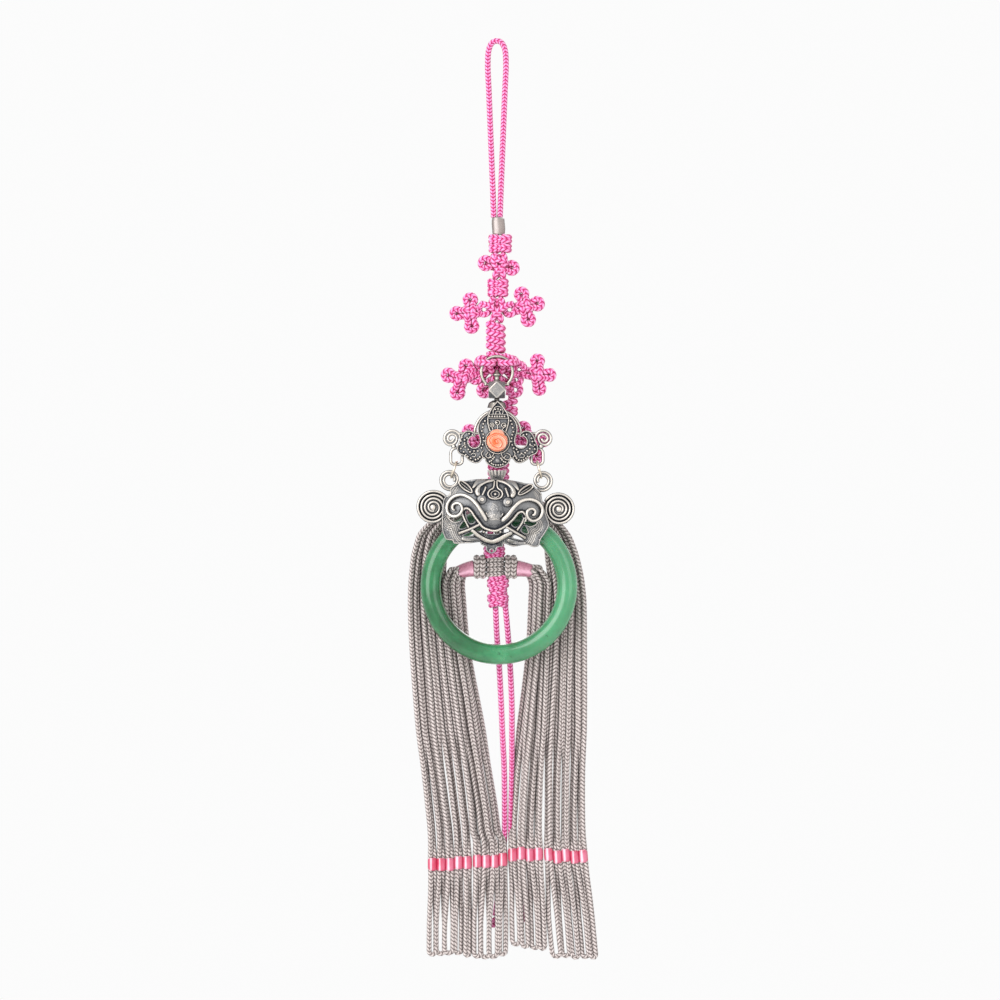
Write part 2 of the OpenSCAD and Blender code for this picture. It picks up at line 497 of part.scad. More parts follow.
// Wire behind the plate: a bar and a bow, a spiral and an oval loop at each side
loop_x = oval_span/2 - 0.3;
loop_bend = oval_w/2 - frame_wire/2 - 0.8;
loop_low_z = oval_bottom_z + loop_bend;
loop_high_z = oval_bottom_z + oval_h - frame_wire - loop_bend - 0.8;
spiral_z = upper_z + 1.2;
spiral_x = upper_w*0.555;
spiral_pitch = frame_wire + 0.12;
module oval_loop() {
    r = loop_bend;
    translate([0.8, 0, loop_low_z]) front_arc(r, frame_wire, -90, 90);
    translate([-0.8, 0, loop_low_z]) front_arc(r, frame_wire, 180, 90);
    translate([0, 0, oval_bottom_z]) rotate([0, 90, 0]) cylinder(d = frame_wire, h = 1.6, center = true);
    for (s = [-1, 1]) translate([s*(r + 0.8), 0, loop_low_z]) cylinder(d = frame_wire, h = loop_high_z - loop_low_z);
    translate([0, 0, loop_high_z]) front_arc(r + 0.8, frame_wire, 0, 180);
}
module wire_frame() color(silver) translate([0, hang_y, 0]) {
    for (s = [-1, 1]) {
        translate([s*loop_x, 0, 0]) oval_loop();
        translate([upper_x + s*spiral_x, 0, spiral_z]) wire_spiral(small_spiral_r, frame_wire, spiral_pitch, -s);
        // ball between the spiral and the oval loop
        low = [upper_x + s*(spiral_x + spiral_pitch/2), spiral_z];
        high = [s*loop_x, loop_high_z];
        way = (low - high)/norm(low - high);
        ball = (low - way*(small_spiral_r - frame_wire/2 - spiral_pitch/2) + high + way*(loop_bend + 0.8))/2;
        translate([ball[0], 0, ball[1]]) sphere(r = norm(low - high)/2 - (small_spiral_r - frame_wire/2 - spiral_pitch/2 + loop_bend + 0.8)/2 + frame_wire*0.12);
    }
    translate([upper_x, 0, upper_z + 3.2]) rotate([0, 90, 0]) cylinder(d = frame_wire*0.9, h = 2*(spiral_x - 2.25), center = true);
    translate([upper_x, 0, upper_z + 3.2]) front_arc(upper_w*0.282, frame_wire, 0, 180);
}

module rose_setting() color(silver) translate([upper_x - 0.2, upper_face(0, 0), upper_z]) rotate([90, 0, 0]) {
    cylinder(d = rose_d*0.62, h = 0.7);
    cylinder(d = 1.4, h = 2.2);
}

// Three layers of petals on the peg of the setting
module petals(reach, r, n, turn, h) linear_extrude(height = h) { for (k = [0:n - 1]) rotate(360*k/n + turn) translate([reach, 0]) circle(r = r); circle(r = reach); }
module coral_rose() color("salmon") translate([upper_x - 0.2, upper_face(0, 0) - 0.7, upper_z]) rotate([90, 0, 0]) difference() {
    union() {
        petals(rose_d*0.26, rose_d*0.24, 5, 90, rose_h*0.5);
        translate([0, 0, rose_h*0.5]) petals(rose_d*0.19, rose_d*0.17, 5, 54, rose_h*0.25);
        translate([0, 0, rose_h*0.75]) petals(rose_d*0.1, rose_d*0.1, 3, 90, rose_h*0.25);
    }
    translate([0, 0, -1]) cylinder(d = 1.5, h = 2.6);
}

// Linked drop
function ring_lean(side) = jump_lean + max(0, side*beast_x)*6;
module jump_ring(side) color("gainsboro") translate([side*(oval_span/2 - 0.3 + jump_mid_r*sin(ring_lean(side))), hang_y, jump_z]) rotate([0, -side*ring_lean(side), 0]) rotate([0, 90, 0])
    rotate_extrude() translate([jump_mid_r, 0]) circle(d = jump_wire);
module jump_ring_left() jump_ring(-1);
module jump_ring_right() jump_ring(1);

module turned() translate([beast_x, 0, beast_z]) rotate([0, beast_turn, 0]) children();

// The stem of a curl meets the back of the plate
module ear_curl(side) color(silver) turned() translate([side*(curl_x + 0.6), 0, curl_z - beast_z]) {
    translate([0, hang_y, 0]) {
        rotate([90, 0, 0]) difference() { cylinder(r = curl_r - curl_t*0.3, h = curl_t*0.7, center = true); cylinder(r = curl_hole_r, h = 9, center = true); }
        front_ring(curl_r - curl_t/2, curl_t);
        front_ring(curl_hole_r + curl_t*0.45, curl_t*0.9);
    }
    translate([-side*curl_r*0.42, hang_y + curl_t*0.2, -curl_r*1.02]) rotate([90, 0, 0]) cylinder(r = curl_t*0.6, h = hang_y + curl_t*0.2 - beast_y - 0.08);
}
module ear_curl_left() ear_curl(-1);
module ear_curl_right() ear_curl(1);

module side_spiral(side) color(silver) turned() translate([side*(beast_w*0.582), beast_y + side_wire/2 + 0.06, 1]) wire_spiral(side_spiral_r, side_wire, side_wire + 0.13, -side);
module side_spiral_left() side_spiral(-1);
module side_spiral_right() side_spiral(1);

// Shares of half the width and of the height, in hundredths
function bp(q) = [beast_w/2*q[0]/100, beast_h*q[1]/100];
mask_rx = beast_w*0.475;
mask_rz = beast_h*0.5;
function mask_out(x, z, r = 0) = let (k = 1 - pow(x/mask_rx, 2) - pow(z/mask_rz, 2)) -beast_rise*sqrt(max(k, 0.01)) - r;
half_rim = [[0, 48.4], [20, 48.4], [42, 47], [55, 43.5], [68, 44], [72, 37], [86, 31], [88, 22], [97, 12], [99, 0], [99, -11], [100, -24], [95, -38], [90, -47], [80, -49], [74, -53],
    [66, -51], [42, -50], [27, -48.5], [23, -52.5], [14, -54.5], [13.5, -61], [5, -66], [0, -66]];
openings = [
    [[53, -1], [47.5, -2.5], [38, -14], [39, -18.5], [46.5, -19], [52, -11]],
    [[65.5, -27], [60.5, -20], [56, -18], [52, -24], [58.5, -28]],
    [[34.5, -29.5], [28, -25.5], [22, -30.5], [26.5, -31.5]],
    [[58, -39.5], [42.5, -33.5], [39.5, -38]],
    [[85, -9], [63, -8.5], [63.5, -13.5], [75, -17.5]]];
upper_lip = [[60, -10], [54, 1], [47, 2], [38, -8], [29, -17.5], [22, -25], [12, -29], [0, -30]];
fang = [[60, -10], [57, -18], [51, -26]];
lower_lip = [[41, -31], [27, -38], [13, -43], [0, -44]];
strap = [[63, -33.5], [50, -28], [29, -20]];
brow = [[10, 43.5], [24, 39], [32, 33], [31, 24]];
heart = [[0, 15.5], [10, 18], [12, 25], [7, 31], [0, 33]];
leaf = [[68, 40], [45, 27]];

module ridge(line, r, s = 1) for (i = [0:len(line) - 2]) hull() for (q = [line[i], line[i + 1]]) {
    p = bp(q);
    translate([s*p[0], mask_out(p[0], p[1], -r*0.1), p[1]]) sphere(r = r, $fn = 4);
}

module beast_plate() color(silver) translate([0, beast_y, 0]) turned() {
    difference() {
        union() {
            // embossed mask, hollow behind
            difference() {
                scale([mask_rx, beast_rise, mask_rz]) sphere(r = 1, $fn = 28);
                scale([mask_rx - sheet, beast_rise - sheet, mask_rz - sheet]) sphere(r = 1, $fn = 28);
                translate([-beast_w, 0, -beast_h]) cube([beast_w*2, beast_rise*2, beast_h*2]);
            }
            // lip turned back under the lotus cup
            translate([0.9 - cup_w/2, -sheet*0.83, beast_h*0.482 - sheet]) cube([cup_w - 1.8, sheet + hang_y - beast_y + 1, sheet]);
            // flat wings and tab round it
            difference() {
                rotate([90, 0, 0]) linear_extrude(height = sheet*1.2) { polygon([for (q = half_rim) bp(q)]); mirror([1, 0]) polygon([for (q = half_rim) bp(q)]); }
                scale([mask_rx - sheet*0.5, beast_rise, mask_rz - sheet*0.5]) sphere(r = 1, $fn = 28);
            }
        }
        for (s = [-1, 1], o = openings) mirror([s < 0 ? 1 : 0, 0, 0]) rotate([90, 0, 0]) translate([0, 0, -1]) linear_extrude(height = beast_rise + 3) polygon([for (q = o) bp(q)]);
        rotate([90, 0, 0]) translate([0, 0, -1]) linear_extrude(height = beast_rise + 3) polygon([for (q = [[-14, -33], [14, -33], [12, -37], [-12, -37]]) bp(q)]);
        translate(concat(bp([0, 0])[0], [0], bp([0, -61])[1])) rotate([90, 0, 0]) cylinder(r = 0.6, h = 6, center = true, $fn = 12);
    }
    for (s = [-1, 1]) {
        ridge(upper_lip, 0.8, s);
        ridge(fang, 0.7, s);
        ridge(lower_lip, 0.75, s);
        ridge(strap, 0.75, s);
        ridge(brow, 0.65, s);
        ridge(heart, 0.5, s);
        ridge(leaf, 1, s);
        p = bp([20.5, 15.5]);
        translate([s*p[0], mask_out(p[0], p[1], -0.5), p[1]]) sphere(r = 1.75, $fn = 10);
    }
    // nose
    hull() {
        translate([0, mask_out(0, beast_h*0.09, -0.6), beast_h*0.09]) sphere(r = 1.2, $fn = 8);
        translate([0, mask_out(0, -beast_h*0.1, -0.7), -beast_h*0.1]) sphere(r = 1.9, $fn = 8);
        translate([0, mask_out(0, -beast_h*0.16, -0.6), -beast_h*0.16]) sphere(r = 1.2, $fn = 8);
    }
}

// Whiskers: a spiral at the outer end, then a long sweep down to the mouth
whisker_line = [[14, -15.5], [23, -3], [32, 8], [44, 16.5], [60, 20], [74, 17], [84, 9.5], [87, 1], [83, -7.5], [73, -11.5], [63, -9], [58.5, -2], [61, 6], [68, 9.5], [74.5, 6], [75.5, 1.5], [71, -1]];
module whisker(side) color(silver) translate([0, beast_y, 0]) turned() mirror([side < 0 ? 1 : 0, 0, 0]) {
    line = smooth([for (q = whisker_line) let (p = bp(q)) [p[0], mask_out(p[0]*0.97, p[1]*0.97, whisker_wire/2 + 0.4), p[1]]], 2);
    n = len(line);
    tube(line, [for (i = [0:n - 1]) whisker_wire/2*(i == 0 ? 0.6 : 1 - 0.35*i/n)], 5);
}
module whisker_left() whisker(-1);
module whisker_right() whisker(1);

// Lotus cup on the top edge of the mask
cup_top = upper_z - upper_h*0.395 - 0.6;
module lotus_cup() color(silver) translate([0.1, hang_y - 0.6, cup_top - cup_h]) {
    base = cup_top - cup_h - beast_top - 0.1;
    rotate_extrude() polygon([[0, 0.2], [0, -base], [1.9, -base], [1.9, 0], [1.6, 0.2], [2.7, 0.55], [cup_w/2 - 0.3, cup_h*0.45], [cup_w/2, cup_h], [cup_w/2 - 0.5, cup_h], [cup_w/2 - 0.9, cup_h*0.6], [2.2, 1.1], [0, 0.9]]);
}

// Hook behind the mask, which the jade ring hangs on
hook_reach = jade_back - jade_depth - 1.9;            // plane of the upright arm, between the jade and the mask
module jade_hook() color(silver) translate([hook_x, 0, hook_z]) {
    translate([0, jade_back + 0.9, 0]) rotate([90, 0, 0]) cylinder(d = hook_d, h = jade_back + 0.9 - hook_reach);
    translate([0, jade_back + 0.9, 0]) rotate([90, 0, 0]) cylinder(d = hook_d + 1.8, h = 0.6);
    translate([0, hook_reach, 0]) sphere(d = hook_d*1.2);
    translate([0, hook_reach, 0]) cylinder(d = hook_d, h = beast_h*0.2);
    translate([0, hook_reach, beast_h*0.2]) sphere(d = hook_d*1.2);
    translate([0, hook_reach, beast_h*0.2]) rotate([90, 0, 0]) cylinder(d = hook_d*0.9, h = hook_reach - beast_y + beast_rise - sheet - 0.45);
}

module jade_ring() color("mediumseagreen") translate([hook_x, jade_y, jade_z]) rotate([90, 0, 0]) rotate_extrude() translate([jade_r, 0]) intersection() {
    circle(d = jade_w);
    for (s = [-1, 1]) translate([0, -s*jade_depth*0.25]) circle(r = jade_depth*0.75);
}

hanging_loop();
loop_binding();
upper_collar();
ear_knot();
middle_collar();
upper_flower_knot();
lower_collar();
lower_flower_knot();
hidden_flower_knot();
knot_column();
chin_collar();
upper_tassel();
lower_tassel();
tail_knot_stack();
left_tail();
right_tail();
left_tail_knot();
right_tail_knot();
hanger_ring();
facet_bead();
lotus_cap();
upper_plate();
wire_frame();
rose_setting();
coral_rose();
jump_ring_left();
jump_ring_right();
lotus_cup();
beast_plate();
ear_curl_left();
ear_curl_right();
side_spiral_left();
side_spiral_right();
whisker_left();
whisker_right();
jade_hook();
jade_ring();
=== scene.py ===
"""Dresses the norigae: braided cords and knots, tassels, relief silver, coral and jade.

Everything is in metres in the part's own frame: the origin is the top of the
hanging loop, the front faces -Y and Z is up. Sizes are written in millimetres
and turned into metres by MM.
"""

import logging
import math
from dataclasses import dataclass, field
from enum import Enum
from typing import Callable, Iterable, Optional, Sequence, Union

import bmesh
import bpy
import numpy as np
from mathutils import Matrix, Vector


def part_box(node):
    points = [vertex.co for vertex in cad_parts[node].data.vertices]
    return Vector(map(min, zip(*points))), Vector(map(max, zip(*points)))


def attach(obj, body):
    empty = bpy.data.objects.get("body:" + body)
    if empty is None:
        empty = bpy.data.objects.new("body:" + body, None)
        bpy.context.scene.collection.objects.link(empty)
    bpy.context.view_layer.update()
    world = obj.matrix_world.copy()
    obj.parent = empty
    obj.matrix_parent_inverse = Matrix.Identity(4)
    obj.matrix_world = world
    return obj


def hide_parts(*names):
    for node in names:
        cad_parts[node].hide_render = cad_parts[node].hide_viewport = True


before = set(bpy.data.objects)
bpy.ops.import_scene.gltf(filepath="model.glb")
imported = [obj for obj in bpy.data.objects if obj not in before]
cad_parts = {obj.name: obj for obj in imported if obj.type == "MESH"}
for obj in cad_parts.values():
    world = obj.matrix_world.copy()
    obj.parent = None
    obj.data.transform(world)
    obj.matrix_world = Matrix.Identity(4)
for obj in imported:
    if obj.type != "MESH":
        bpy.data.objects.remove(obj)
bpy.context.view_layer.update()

LOG = logging.getLogger("norigae")
MM = 0.001
Point = tuple[float, float, float]
Flat = tuple[float, float]
Array = np.ndarray
Material = bpy.types.Material
Object = bpy.types.Object
Colour = tuple[float, float, float]
Value = Union["Wire", float]


class Body(Enum):
    """The rigid bodies that pieces ride on."""

    KNOTWORK = "knotwork"
    PENDANT = "pendant"
    DROP = "drop"


class Side(Enum):
    """Left and right as seen from the front."""

    LEFT = -1
    RIGHT = 1


# Shader maths


class Wire:
    """A shader socket that can be used in Python expressions."""

    def __init__(self, shader: "Finish", socket: bpy.types.NodeSocket) -> None:
        """Wraps an output socket of a finish's node tree."""
        self.shader = shader
        self.socket = socket

    def _maths(self, operation: str, *values: Value) -> "Wire":
        """Adds one Math node with its inputs in order."""
        return self.shader.node("ShaderNodeMath", {"operation": operation}, dict(enumerate(values)))

    def __add__(self, other: Value) -> "Wire":
        """Sum."""
        return self._maths("ADD", self, other)

    __radd__ = __add__

    def __sub__(self, other: Value) -> "Wire":
        """Difference."""
        return self._maths("SUBTRACT", self, other)

    def __rsub__(self, other: float) -> "Wire":
        """Reflected difference."""
        return self._maths("SUBTRACT", other, self)

    def __mul__(self, other: Value) -> "Wire":
        """Product."""
        return self._maths("MULTIPLY", self, other)

    __rmul__ = __mul__

    def __truediv__(self, other: Value) -> "Wire":
        """Quotient."""
        return self._maths("DIVIDE", self, other)

    def __abs__(self) -> "Wire":
        """Absolute value."""
        return self._maths("ABSOLUTE", self)

    def fraction(self) -> "Wire":
        """The part after the decimal point."""
        return self._maths("FRACT", self)

    def sine(self) -> "Wire":
        """Sine of the value in radians."""
        return self._maths("SINE", self)

    def power(self, exponent: float) -> "Wire":
        """The value raised to a power."""
        return self._maths("POWER", self, exponent)

    def between(self, low: float, high: float) -> "Wire":
        """Rises smoothly from 0 to 1.

        Args:
            low: the value that gives 0.
            high: the value that gives 1.

        Returns:
            The rising value.
        """
        return self.shader.node(
            "ShaderNodeMapRange",
            {"interpolation_type": "SMOOTHSTEP"},
            {"Value": self, "From Min": low, "From Max": high},
        )


def linear(red: int, green: int, blue: int) -> Colour:
    """Turns a colour of three parts from 0 to 255 into the shader's linear values.

    Args:
        red: red part.
        green: green part.
        blue: blue part.

    Returns:
        The three linear values.
    """
    return tuple(
        (c / 255 / 12.92) if c <= 10 else ((c / 255 + 0.055) / 1.055) ** 2.4
        for c in (red, green, blue)
    )


class Finish:
    """Base of all finishes: builds one node tree round a Principled shader."""

    def __init__(self, name: str) -> None:
        """Starts an empty material.

        Args:
            name: the material's name.
        """
        self.material = bpy.data.materials.new(name)
        self.material.use_nodes = True
        self.tree = self.material.node_tree
        self.tree.nodes.clear()
        output = self.tree.nodes.new("ShaderNodeOutputMaterial")
        self.surface = self.tree.nodes.new("ShaderNodeBsdfPrincipled")
        self.tree.links.new(self.surface.outputs[0], output.inputs[0])

    def node(self, kind: str, settings: dict, inputs: dict, output: Union[int, str] = 0) -> Wire:
        """Adds a node, sets it up and links its inputs.

        Args:
            kind: the node's type.
            settings: properties that are set first; a "stops" entry fills a colour ramp.
            inputs: values or wires by the socket's name or number.
            output: the output that is returned.

        Returns:
            The chosen output.
        """
        made = self.tree.nodes.new(kind)
        for key, value in settings.items():
            if key == "stops":
                self._stops(made.color_ramp, value)
            else:
                setattr(made, key, value)
        for key, value in inputs.items():
            self._feed(made.inputs[key], value)
        return Wire(self, made.outputs[output])

    @staticmethod
    def _stops(ramp: bpy.types.ColorRamp, stops: Sequence[tuple[float, Colour]]) -> None:
        """Fills a colour ramp.

        Args:
            ramp: the ramp.
            stops: pairs of place and colour, in order.
        """
        while len(ramp.elements) < len(stops):
            ramp.elements.new(0.5)
        for element, (place, colour) in zip(ramp.elements, stops):
            element.position = place
            element.color = (*colour, 1)

    def _feed(self, socket: bpy.types.NodeSocket, value: Union[Value, Colour]) -> None:
        """Links a wire to a socket, or sets the socket's own value.

        Args:
            socket: the input.
            value: a wire, a number, a colour or a vector.
        """
        if isinstance(value, Wire):
            self.tree.links.new(value.socket, socket)
        elif isinstance(value, (tuple, list)) and len(value) == 3 and socket.type == "RGBA":
            socket.default_value = (*value, 1)
        else:
            socket.default_value = value

    def place(self) -> Wire:
        """The object's own coordinates."""
        return self.node("ShaderNodeTexCoord", {}, {}, "Object")

    def parts(self, vector: Wire) -> tuple[Wire, ...]:
        """Splits a vector into its x, y and z."""
        split = self.node("ShaderNodeSeparateXYZ", {}, {0: vector})
        return tuple(Wire(self, part) for part in split.socket.node.outputs)

    def along_cord(self) -> tuple[Wire, ...]:
        """The piece's own UV map: turns round the cord and diameters along it."""
        return self.parts(self.node("ShaderNodeUVMap", {"uv_map": "UVMap"}, {}))[:2]

    def noise(
        self, scale: float, detail: float = 3, roughness: float = 0.55, stretch: Point = (1, 1, 1)
    ) -> Wire:
        """Noise on the object's coordinates.

        Args:
            scale: cells to a metre.
            detail: finer layers on top.
            roughness: how strong the finer layers are.
            stretch: factors on the coordinates.

        Returns:
            Values of about 0.3 to 0.7.
        """
        place = self.node("ShaderNodeMapping", {}, {"Vector": self.place(), "Scale": stretch})
        return self.node(
            "ShaderNodeTexNoise",
            {},
            {"Vector": place, "Scale": scale, "Detail": detail, "Roughness": roughness},
        )

    def facing(self) -> tuple[Wire, ...]:
        """The three parts of the surface's direction."""
        return self.parts(self.node("ShaderNodeNewGeometry", {}, {}, "Normal"))

    def openness(self, reach: float) -> Wire:
        """0 deep in a crevice and 1 in the open, with walls counted up to a reach in millimetres."""
        return self.node("ShaderNodeAmbientOcclusion", {"samples": 8}, {"Distance": reach * MM}, "AO")

    def attribute(self, name: str) -> Wire:
        """A number stored on the mesh's points."""
        return self.node("ShaderNodeAttribute", {"attribute_name": name}, {}, "Fac")

    def mix(self, factor: Value, first: Union[Wire, Colour], second: Union[Wire, Colour]) -> Wire:
        """Mixes two colours.

        Args:
            factor: 0 gives the first, 1 the second.
            first: a colour.
            second: a colour.

        Returns:
            The mixed colour.
        """
        made = self.tree.nodes.new("ShaderNodeMix")
        made.data_type = "RGBA"
        self._feed(made.inputs[0], factor)
        self._feed(made.inputs[6], first)
        self._feed(made.inputs[7], second)
        return Wire(self, made.outputs[2])

    def ramp(self, factor: Wire, *stops: tuple[float, Colour]) -> Wire:
        """A colour ramp."""
        return self.node("ShaderNodeValToRGB", {"stops": stops}, {"Fac": factor})

    def dress(
        self, bump: Optional[tuple[Wire, float, float]] = None, **sockets: Union[Value, Colour]
    ) -> Material:
        """Sets the Principled shader's sockets.

        Args:
            bump: height, strength and depth in millimetres.
            sockets: values by socket name, with underscores for spaces.

        Returns:
            The finished material.
        """
        for key, value in sockets.items():
            self._feed(self.surface.inputs[key.replace("_", " ")], value)
        if bump:
            height, strength, depth = bump
            relief = self.node(
                "ShaderNodeBump", {}, {"Height": height, "Strength": strength, "Distance": depth * MM}
            )
            self._feed(self.surface.inputs["Normal"], relief)
        return self.material


@dataclass(frozen=True)
class BraidFinish:
    """Round braided cord: two columns of slanted stitches on each face, with painted shade between them and
    painted highlight on their crests.
    """

    name: str
    # light is the painted highlight on the stitches' crests, shade the painted shade between stitches and,
    # darker still, between cords
    light: Colour
    body: Colour
    shade: Colour
    stitches: float = 1.62
    slant: float = 0.8
    sheen: float = 0.2

    def make(self) -> Material:
        """Builds the material.

        Returns:
            The material.
        """
        f = Finish(self.name)
        turn, run = f.along_cord()
        column = abs((turn * 2).fraction() - 0.5) * 2
        stitch = ((run * self.stitches + column * self.slant).fraction() * math.pi).sine()
        seam = (column * math.pi).sine().power(0.4)
        height = stitch.power(0.55) * (seam * 0.5 + 0.5)
        thread = ((run * self.stitches * 4 + column * 7).fraction() * math.pi).sine()
        fuzz = f.noise(1100, 3)
        # painted shade in the gaps between the stitches, over the braid's stitch pattern
        tint = f.mix(height.between(0.2, 0.72), self.shade, self.body)
        # painted highlight on the stitches' crests, broken up by fuzz and thread lines
        tint = f.mix((height + fuzz * 0.5 + thread * 0.14).between(0.92, 1.4), tint, self.light)
        # painted shade in the crevices between cords and where they pass under others
        tint = f.mix(f.openness(1.6).between(0.2, 0.75), tuple(c * 0.75 for c in self.shade), tint)
        return f.dress(
            bump=(height + thread * 0.1 + fuzz * 0.1, 1.0, 0.42),
            Base_Color=tint,
            Roughness=0.55,
            Sheen_Weight=self.sheen,
            Sheen_Roughness=0.4,
            Specular_IOR_Level=0.35,
        )


@dataclass(frozen=True)
class ThreadFinish:
    """Fine satin thread wound tightly round something, with a painted highlight on one face and painted shade
    on its sides, between its turns and in crevices.
    """

    name: str
    light: Colour
    body: Colour
    shade: Colour
    turns: float = 9.0
    # across is the axis of the surface's direction that the painted highlight and the painted side shade
    # follow
    across: int = 0

    def make(self) -> Material:
        """Builds the material.

        Returns:
            The material.
        """
        f = Finish(self.name)
        turn, run = f.along_cord()
        wind = ((run * self.turns + turn * 0.3 + f.noise(350, 2) * 0.5).fraction() * math.pi).sine()
        drift = f.noise(190, 3, 0.5, (1, 1, 0.5))
        # painted shade in the grooves between the turns, mixed with random drift of tone
        tint = f.mix((wind * 0.45 + drift).between(0.5, 1.0), self.shade, self.body)
        # painted highlight as a band where the surface turns a little towards minus along the axis across
        painted_highlight = 1 - abs(f.facing()[self.across] + 0.3) * 3.0
        tint = f.mix((painted_highlight + drift * 1.2 + wind * 0.5 - 0.85).between(0.1, 0.9), tint, self.light)
        # painted shade where the surface turns away to the sides along that axis
        tint = f.mix(abs(f.facing()[self.across]).between(0.72, 0.98), tint, self.shade)
        # painted shade in crevices
        tint = f.mix(f.openness(1.3).between(0.25, 0.8), self.shade, tint)
        return f.dress(
            bump=(wind + drift * 0.3, 0.7, 0.12),
            Base_Color=tint,
            Roughness=0.34,
            Sheen_Weight=0.25,
            Sheen_Roughness=0.3,
            Specular_IOR_Level=0.7,
        )


@dataclass(frozen=True)
class SilverFinish:
    """Worn silver: polished where it stands out, oxidised in its crevices; wires also get painted highlight
    on their front and back and painted shade on their sides.
    """

    name: str
    bright: Colour = linear(214, 206, 196)
    middle: Colour = linear(130, 130, 131)
    dark: Colour = linear(38, 42, 50)
    relief: bool = False
    # wire adds painted highlight where the surface faces front or back and painted shade where it turns to
    # the side
    wire: bool = False
    reach: float = 1.4

    def make(self) -> Material:
        """Builds the material.

        Returns:
            The material.
        """
        f = Finish(self.name)
        cloud = f.noise(240, 5, 0.6)
        grain = f.noise(2200, 4, 0.65)
        level = (cloud - 0.5) * 0.5 + (grain - 0.5) * 0.5
        open_air = f.openness(self.reach)
        level = level + (f.attribute("relief") if self.relief else open_air * 1.1 - 0.33)
        height = grain + cloud * 0.6
        if self.relief:
            rib = (f.attribute("twist") * (2 * math.pi)).sine() * f.attribute("ribbed")
            level = level + rib * 0.3
            height = height + rib * 1.1
        if self.wire:
            # painted highlight on faces towards the front or back, painted shade on the sides
            level = level + abs(f.facing()[1]) * 1.4 - 1.22
        tint = f.mix(level.between(-0.05, 0.4), self.dark, self.middle)
        tint = f.mix(level.between(0.42, 0.95), tint, self.bright)
        tint = f.mix(open_air.between(0.1, 0.62), self.dark, tint)
        return f.dress(
            bump=(height, 0.5, 0.09),
            Base_Color=tint,
            Metallic=0.8,
            Roughness=0.52 - 0.2 * level.between(0.1, 0.9),
        )


@dataclass(frozen=True)
class PolishedFinish:
    """Bright warm silver of the jump rings."""

    name: str
    colour: Colour

    def make(self) -> Material:
        """Builds the material.

        Returns:
            The material.
        """
        f = Finish(self.name)
        scuff = f.noise(1500, 4, 0.6)
        tint = f.mix(scuff.between(0.35, 0.7), tuple(c * 0.8 for c in self.colour), self.colour)
        return f.dress(
            bump=(scuff, 0.12, 0.03), Base_Color=tint, Metallic=0.95, Roughness=0.16 + scuff * 0.16
        )


@dataclass(frozen=True)
class JadeFinish:
    """Polished green stone with pale clouds and fine dark flecks."""

    name: str

    def make(self) -> Material:
        """Builds the material.

        Returns:
            The material.
        """
        f = Finish(self.name)
        warp = f.noise(38, 4, 0.6, (1, 1, 1.4))
        vein = f.noise(120, 6, 0.68, (1, 1.3, 0.8))
        fleck = f.noise(520, 3, 0.6)
        tint = f.ramp(
            warp * 0.65 + vein * 0.35,
            (0.36, linear(4, 74, 35)),
            (0.47, linear(8, 96, 48)),
            (0.55, linear(26, 118, 68)),
            (0.68, linear(74, 152, 104)),
        )
        across = f.parts(f.place())[0]
        tint = f.mix(
            (across / (60 * MM) + 0.5 + warp * 0.4).between(0.3, 1.3) * 0.6, tint, linear(84, 162, 116)
        )
        tint = f.mix(fleck.between(0.64, 0.76) * 0.6, tint, linear(22, 74, 44))
        return f.dress(
            bump=(vein, 0.05, 0.05),
            Base_Color=tint,
            Roughness=0.2 + vein * 0.12,
            Subsurface_Weight=0.25,
            Subsurface_Scale=2.5 * MM,
            Coat_Weight=0.6,
            Coat_Roughness=0.08,
        )


@dataclass(frozen=True)
class CoralFinish:
    """Carved coral: painted shade in its folds and painted highlight on its lips, from the mesh's relief
    value, with random clouds of tone.
    """

    name: str

    def make(self) -> Material:
        """Builds the material.

        Returns:
            The material.
        """
        f = Finish(self.name)
        cloud = f.noise(330, 4)
        # the mesh's relief value carries painted shade and painted highlight; the clouds are random tone
        painted_light_and_tone = f.attribute("relief") + (cloud - 0.5) * 0.3
        # painted shade: deep orange in folds and creases
        tint = f.mix(painted_light_and_tone.between(0.05, 0.5), linear(222, 108, 58), linear(234, 148, 116))
        # painted highlight: pale pink on the lips
        tint = f.mix(painted_light_and_tone.between(0.55, 1.0), tint, linear(247, 188, 170))
        return f.dress(
            bump=(cloud, 0.1, 0.06),
            Base_Color=tint,
            Roughness=0.3 + cloud * 0.15,
            Subsurface_Weight=0.2,
            Subsurface_Scale=1.2 * MM,
            Coat_Weight=0.25,
        )


class Palette:
    """All finishes, made once."""

    def __init__(self) -> None:
        """Makes the materials."""
        self.pink = BraidFinish(
            "pink_braid", linear(253, 176, 222), linear(226, 82, 154), linear(178, 14, 80)
        ).make()
        self.grey = BraidFinish(
            "grey_braid", linear(222, 211, 208), linear(168, 156, 153), linear(86, 74, 72)
        ).make()
        self.grey_thread = ThreadFinish(
            "grey_thread", linear(206, 194, 190), linear(160, 148, 143), linear(98, 86, 82), 6.0
        ).make()
        self.pale_thread = ThreadFinish(
            "pale_pink_thread", linear(238, 182, 204), linear(208, 140, 164), linear(150, 84, 104), 5.0, 2
        ).make()
        self.rose_thread = ThreadFinish(
            "rose_thread", linear(244, 202, 214), linear(212, 118, 146), linear(196, 26, 74), 5.0
        ).make()
        self.silver = SilverFinish("worn_silver").make()
        self.relief_silver = SilverFinish("relief_silver", relief=True).make()
        self.wire_silver = SilverFinish("wire_silver", wire=True).make()
        self.ring_silver = SilverFinish(
            "ring_silver", linear(190, 184, 174), linear(128, 124, 118), linear(48, 48, 50), wire=True
        ).make()
        self.polished = PolishedFinish("bright_silver", linear(226, 214, 196)).make()
        self.jade = JadeFinish("green_jade").make()
        self.coral = CoralFinish("pink_coral").make()


# Cord meshes


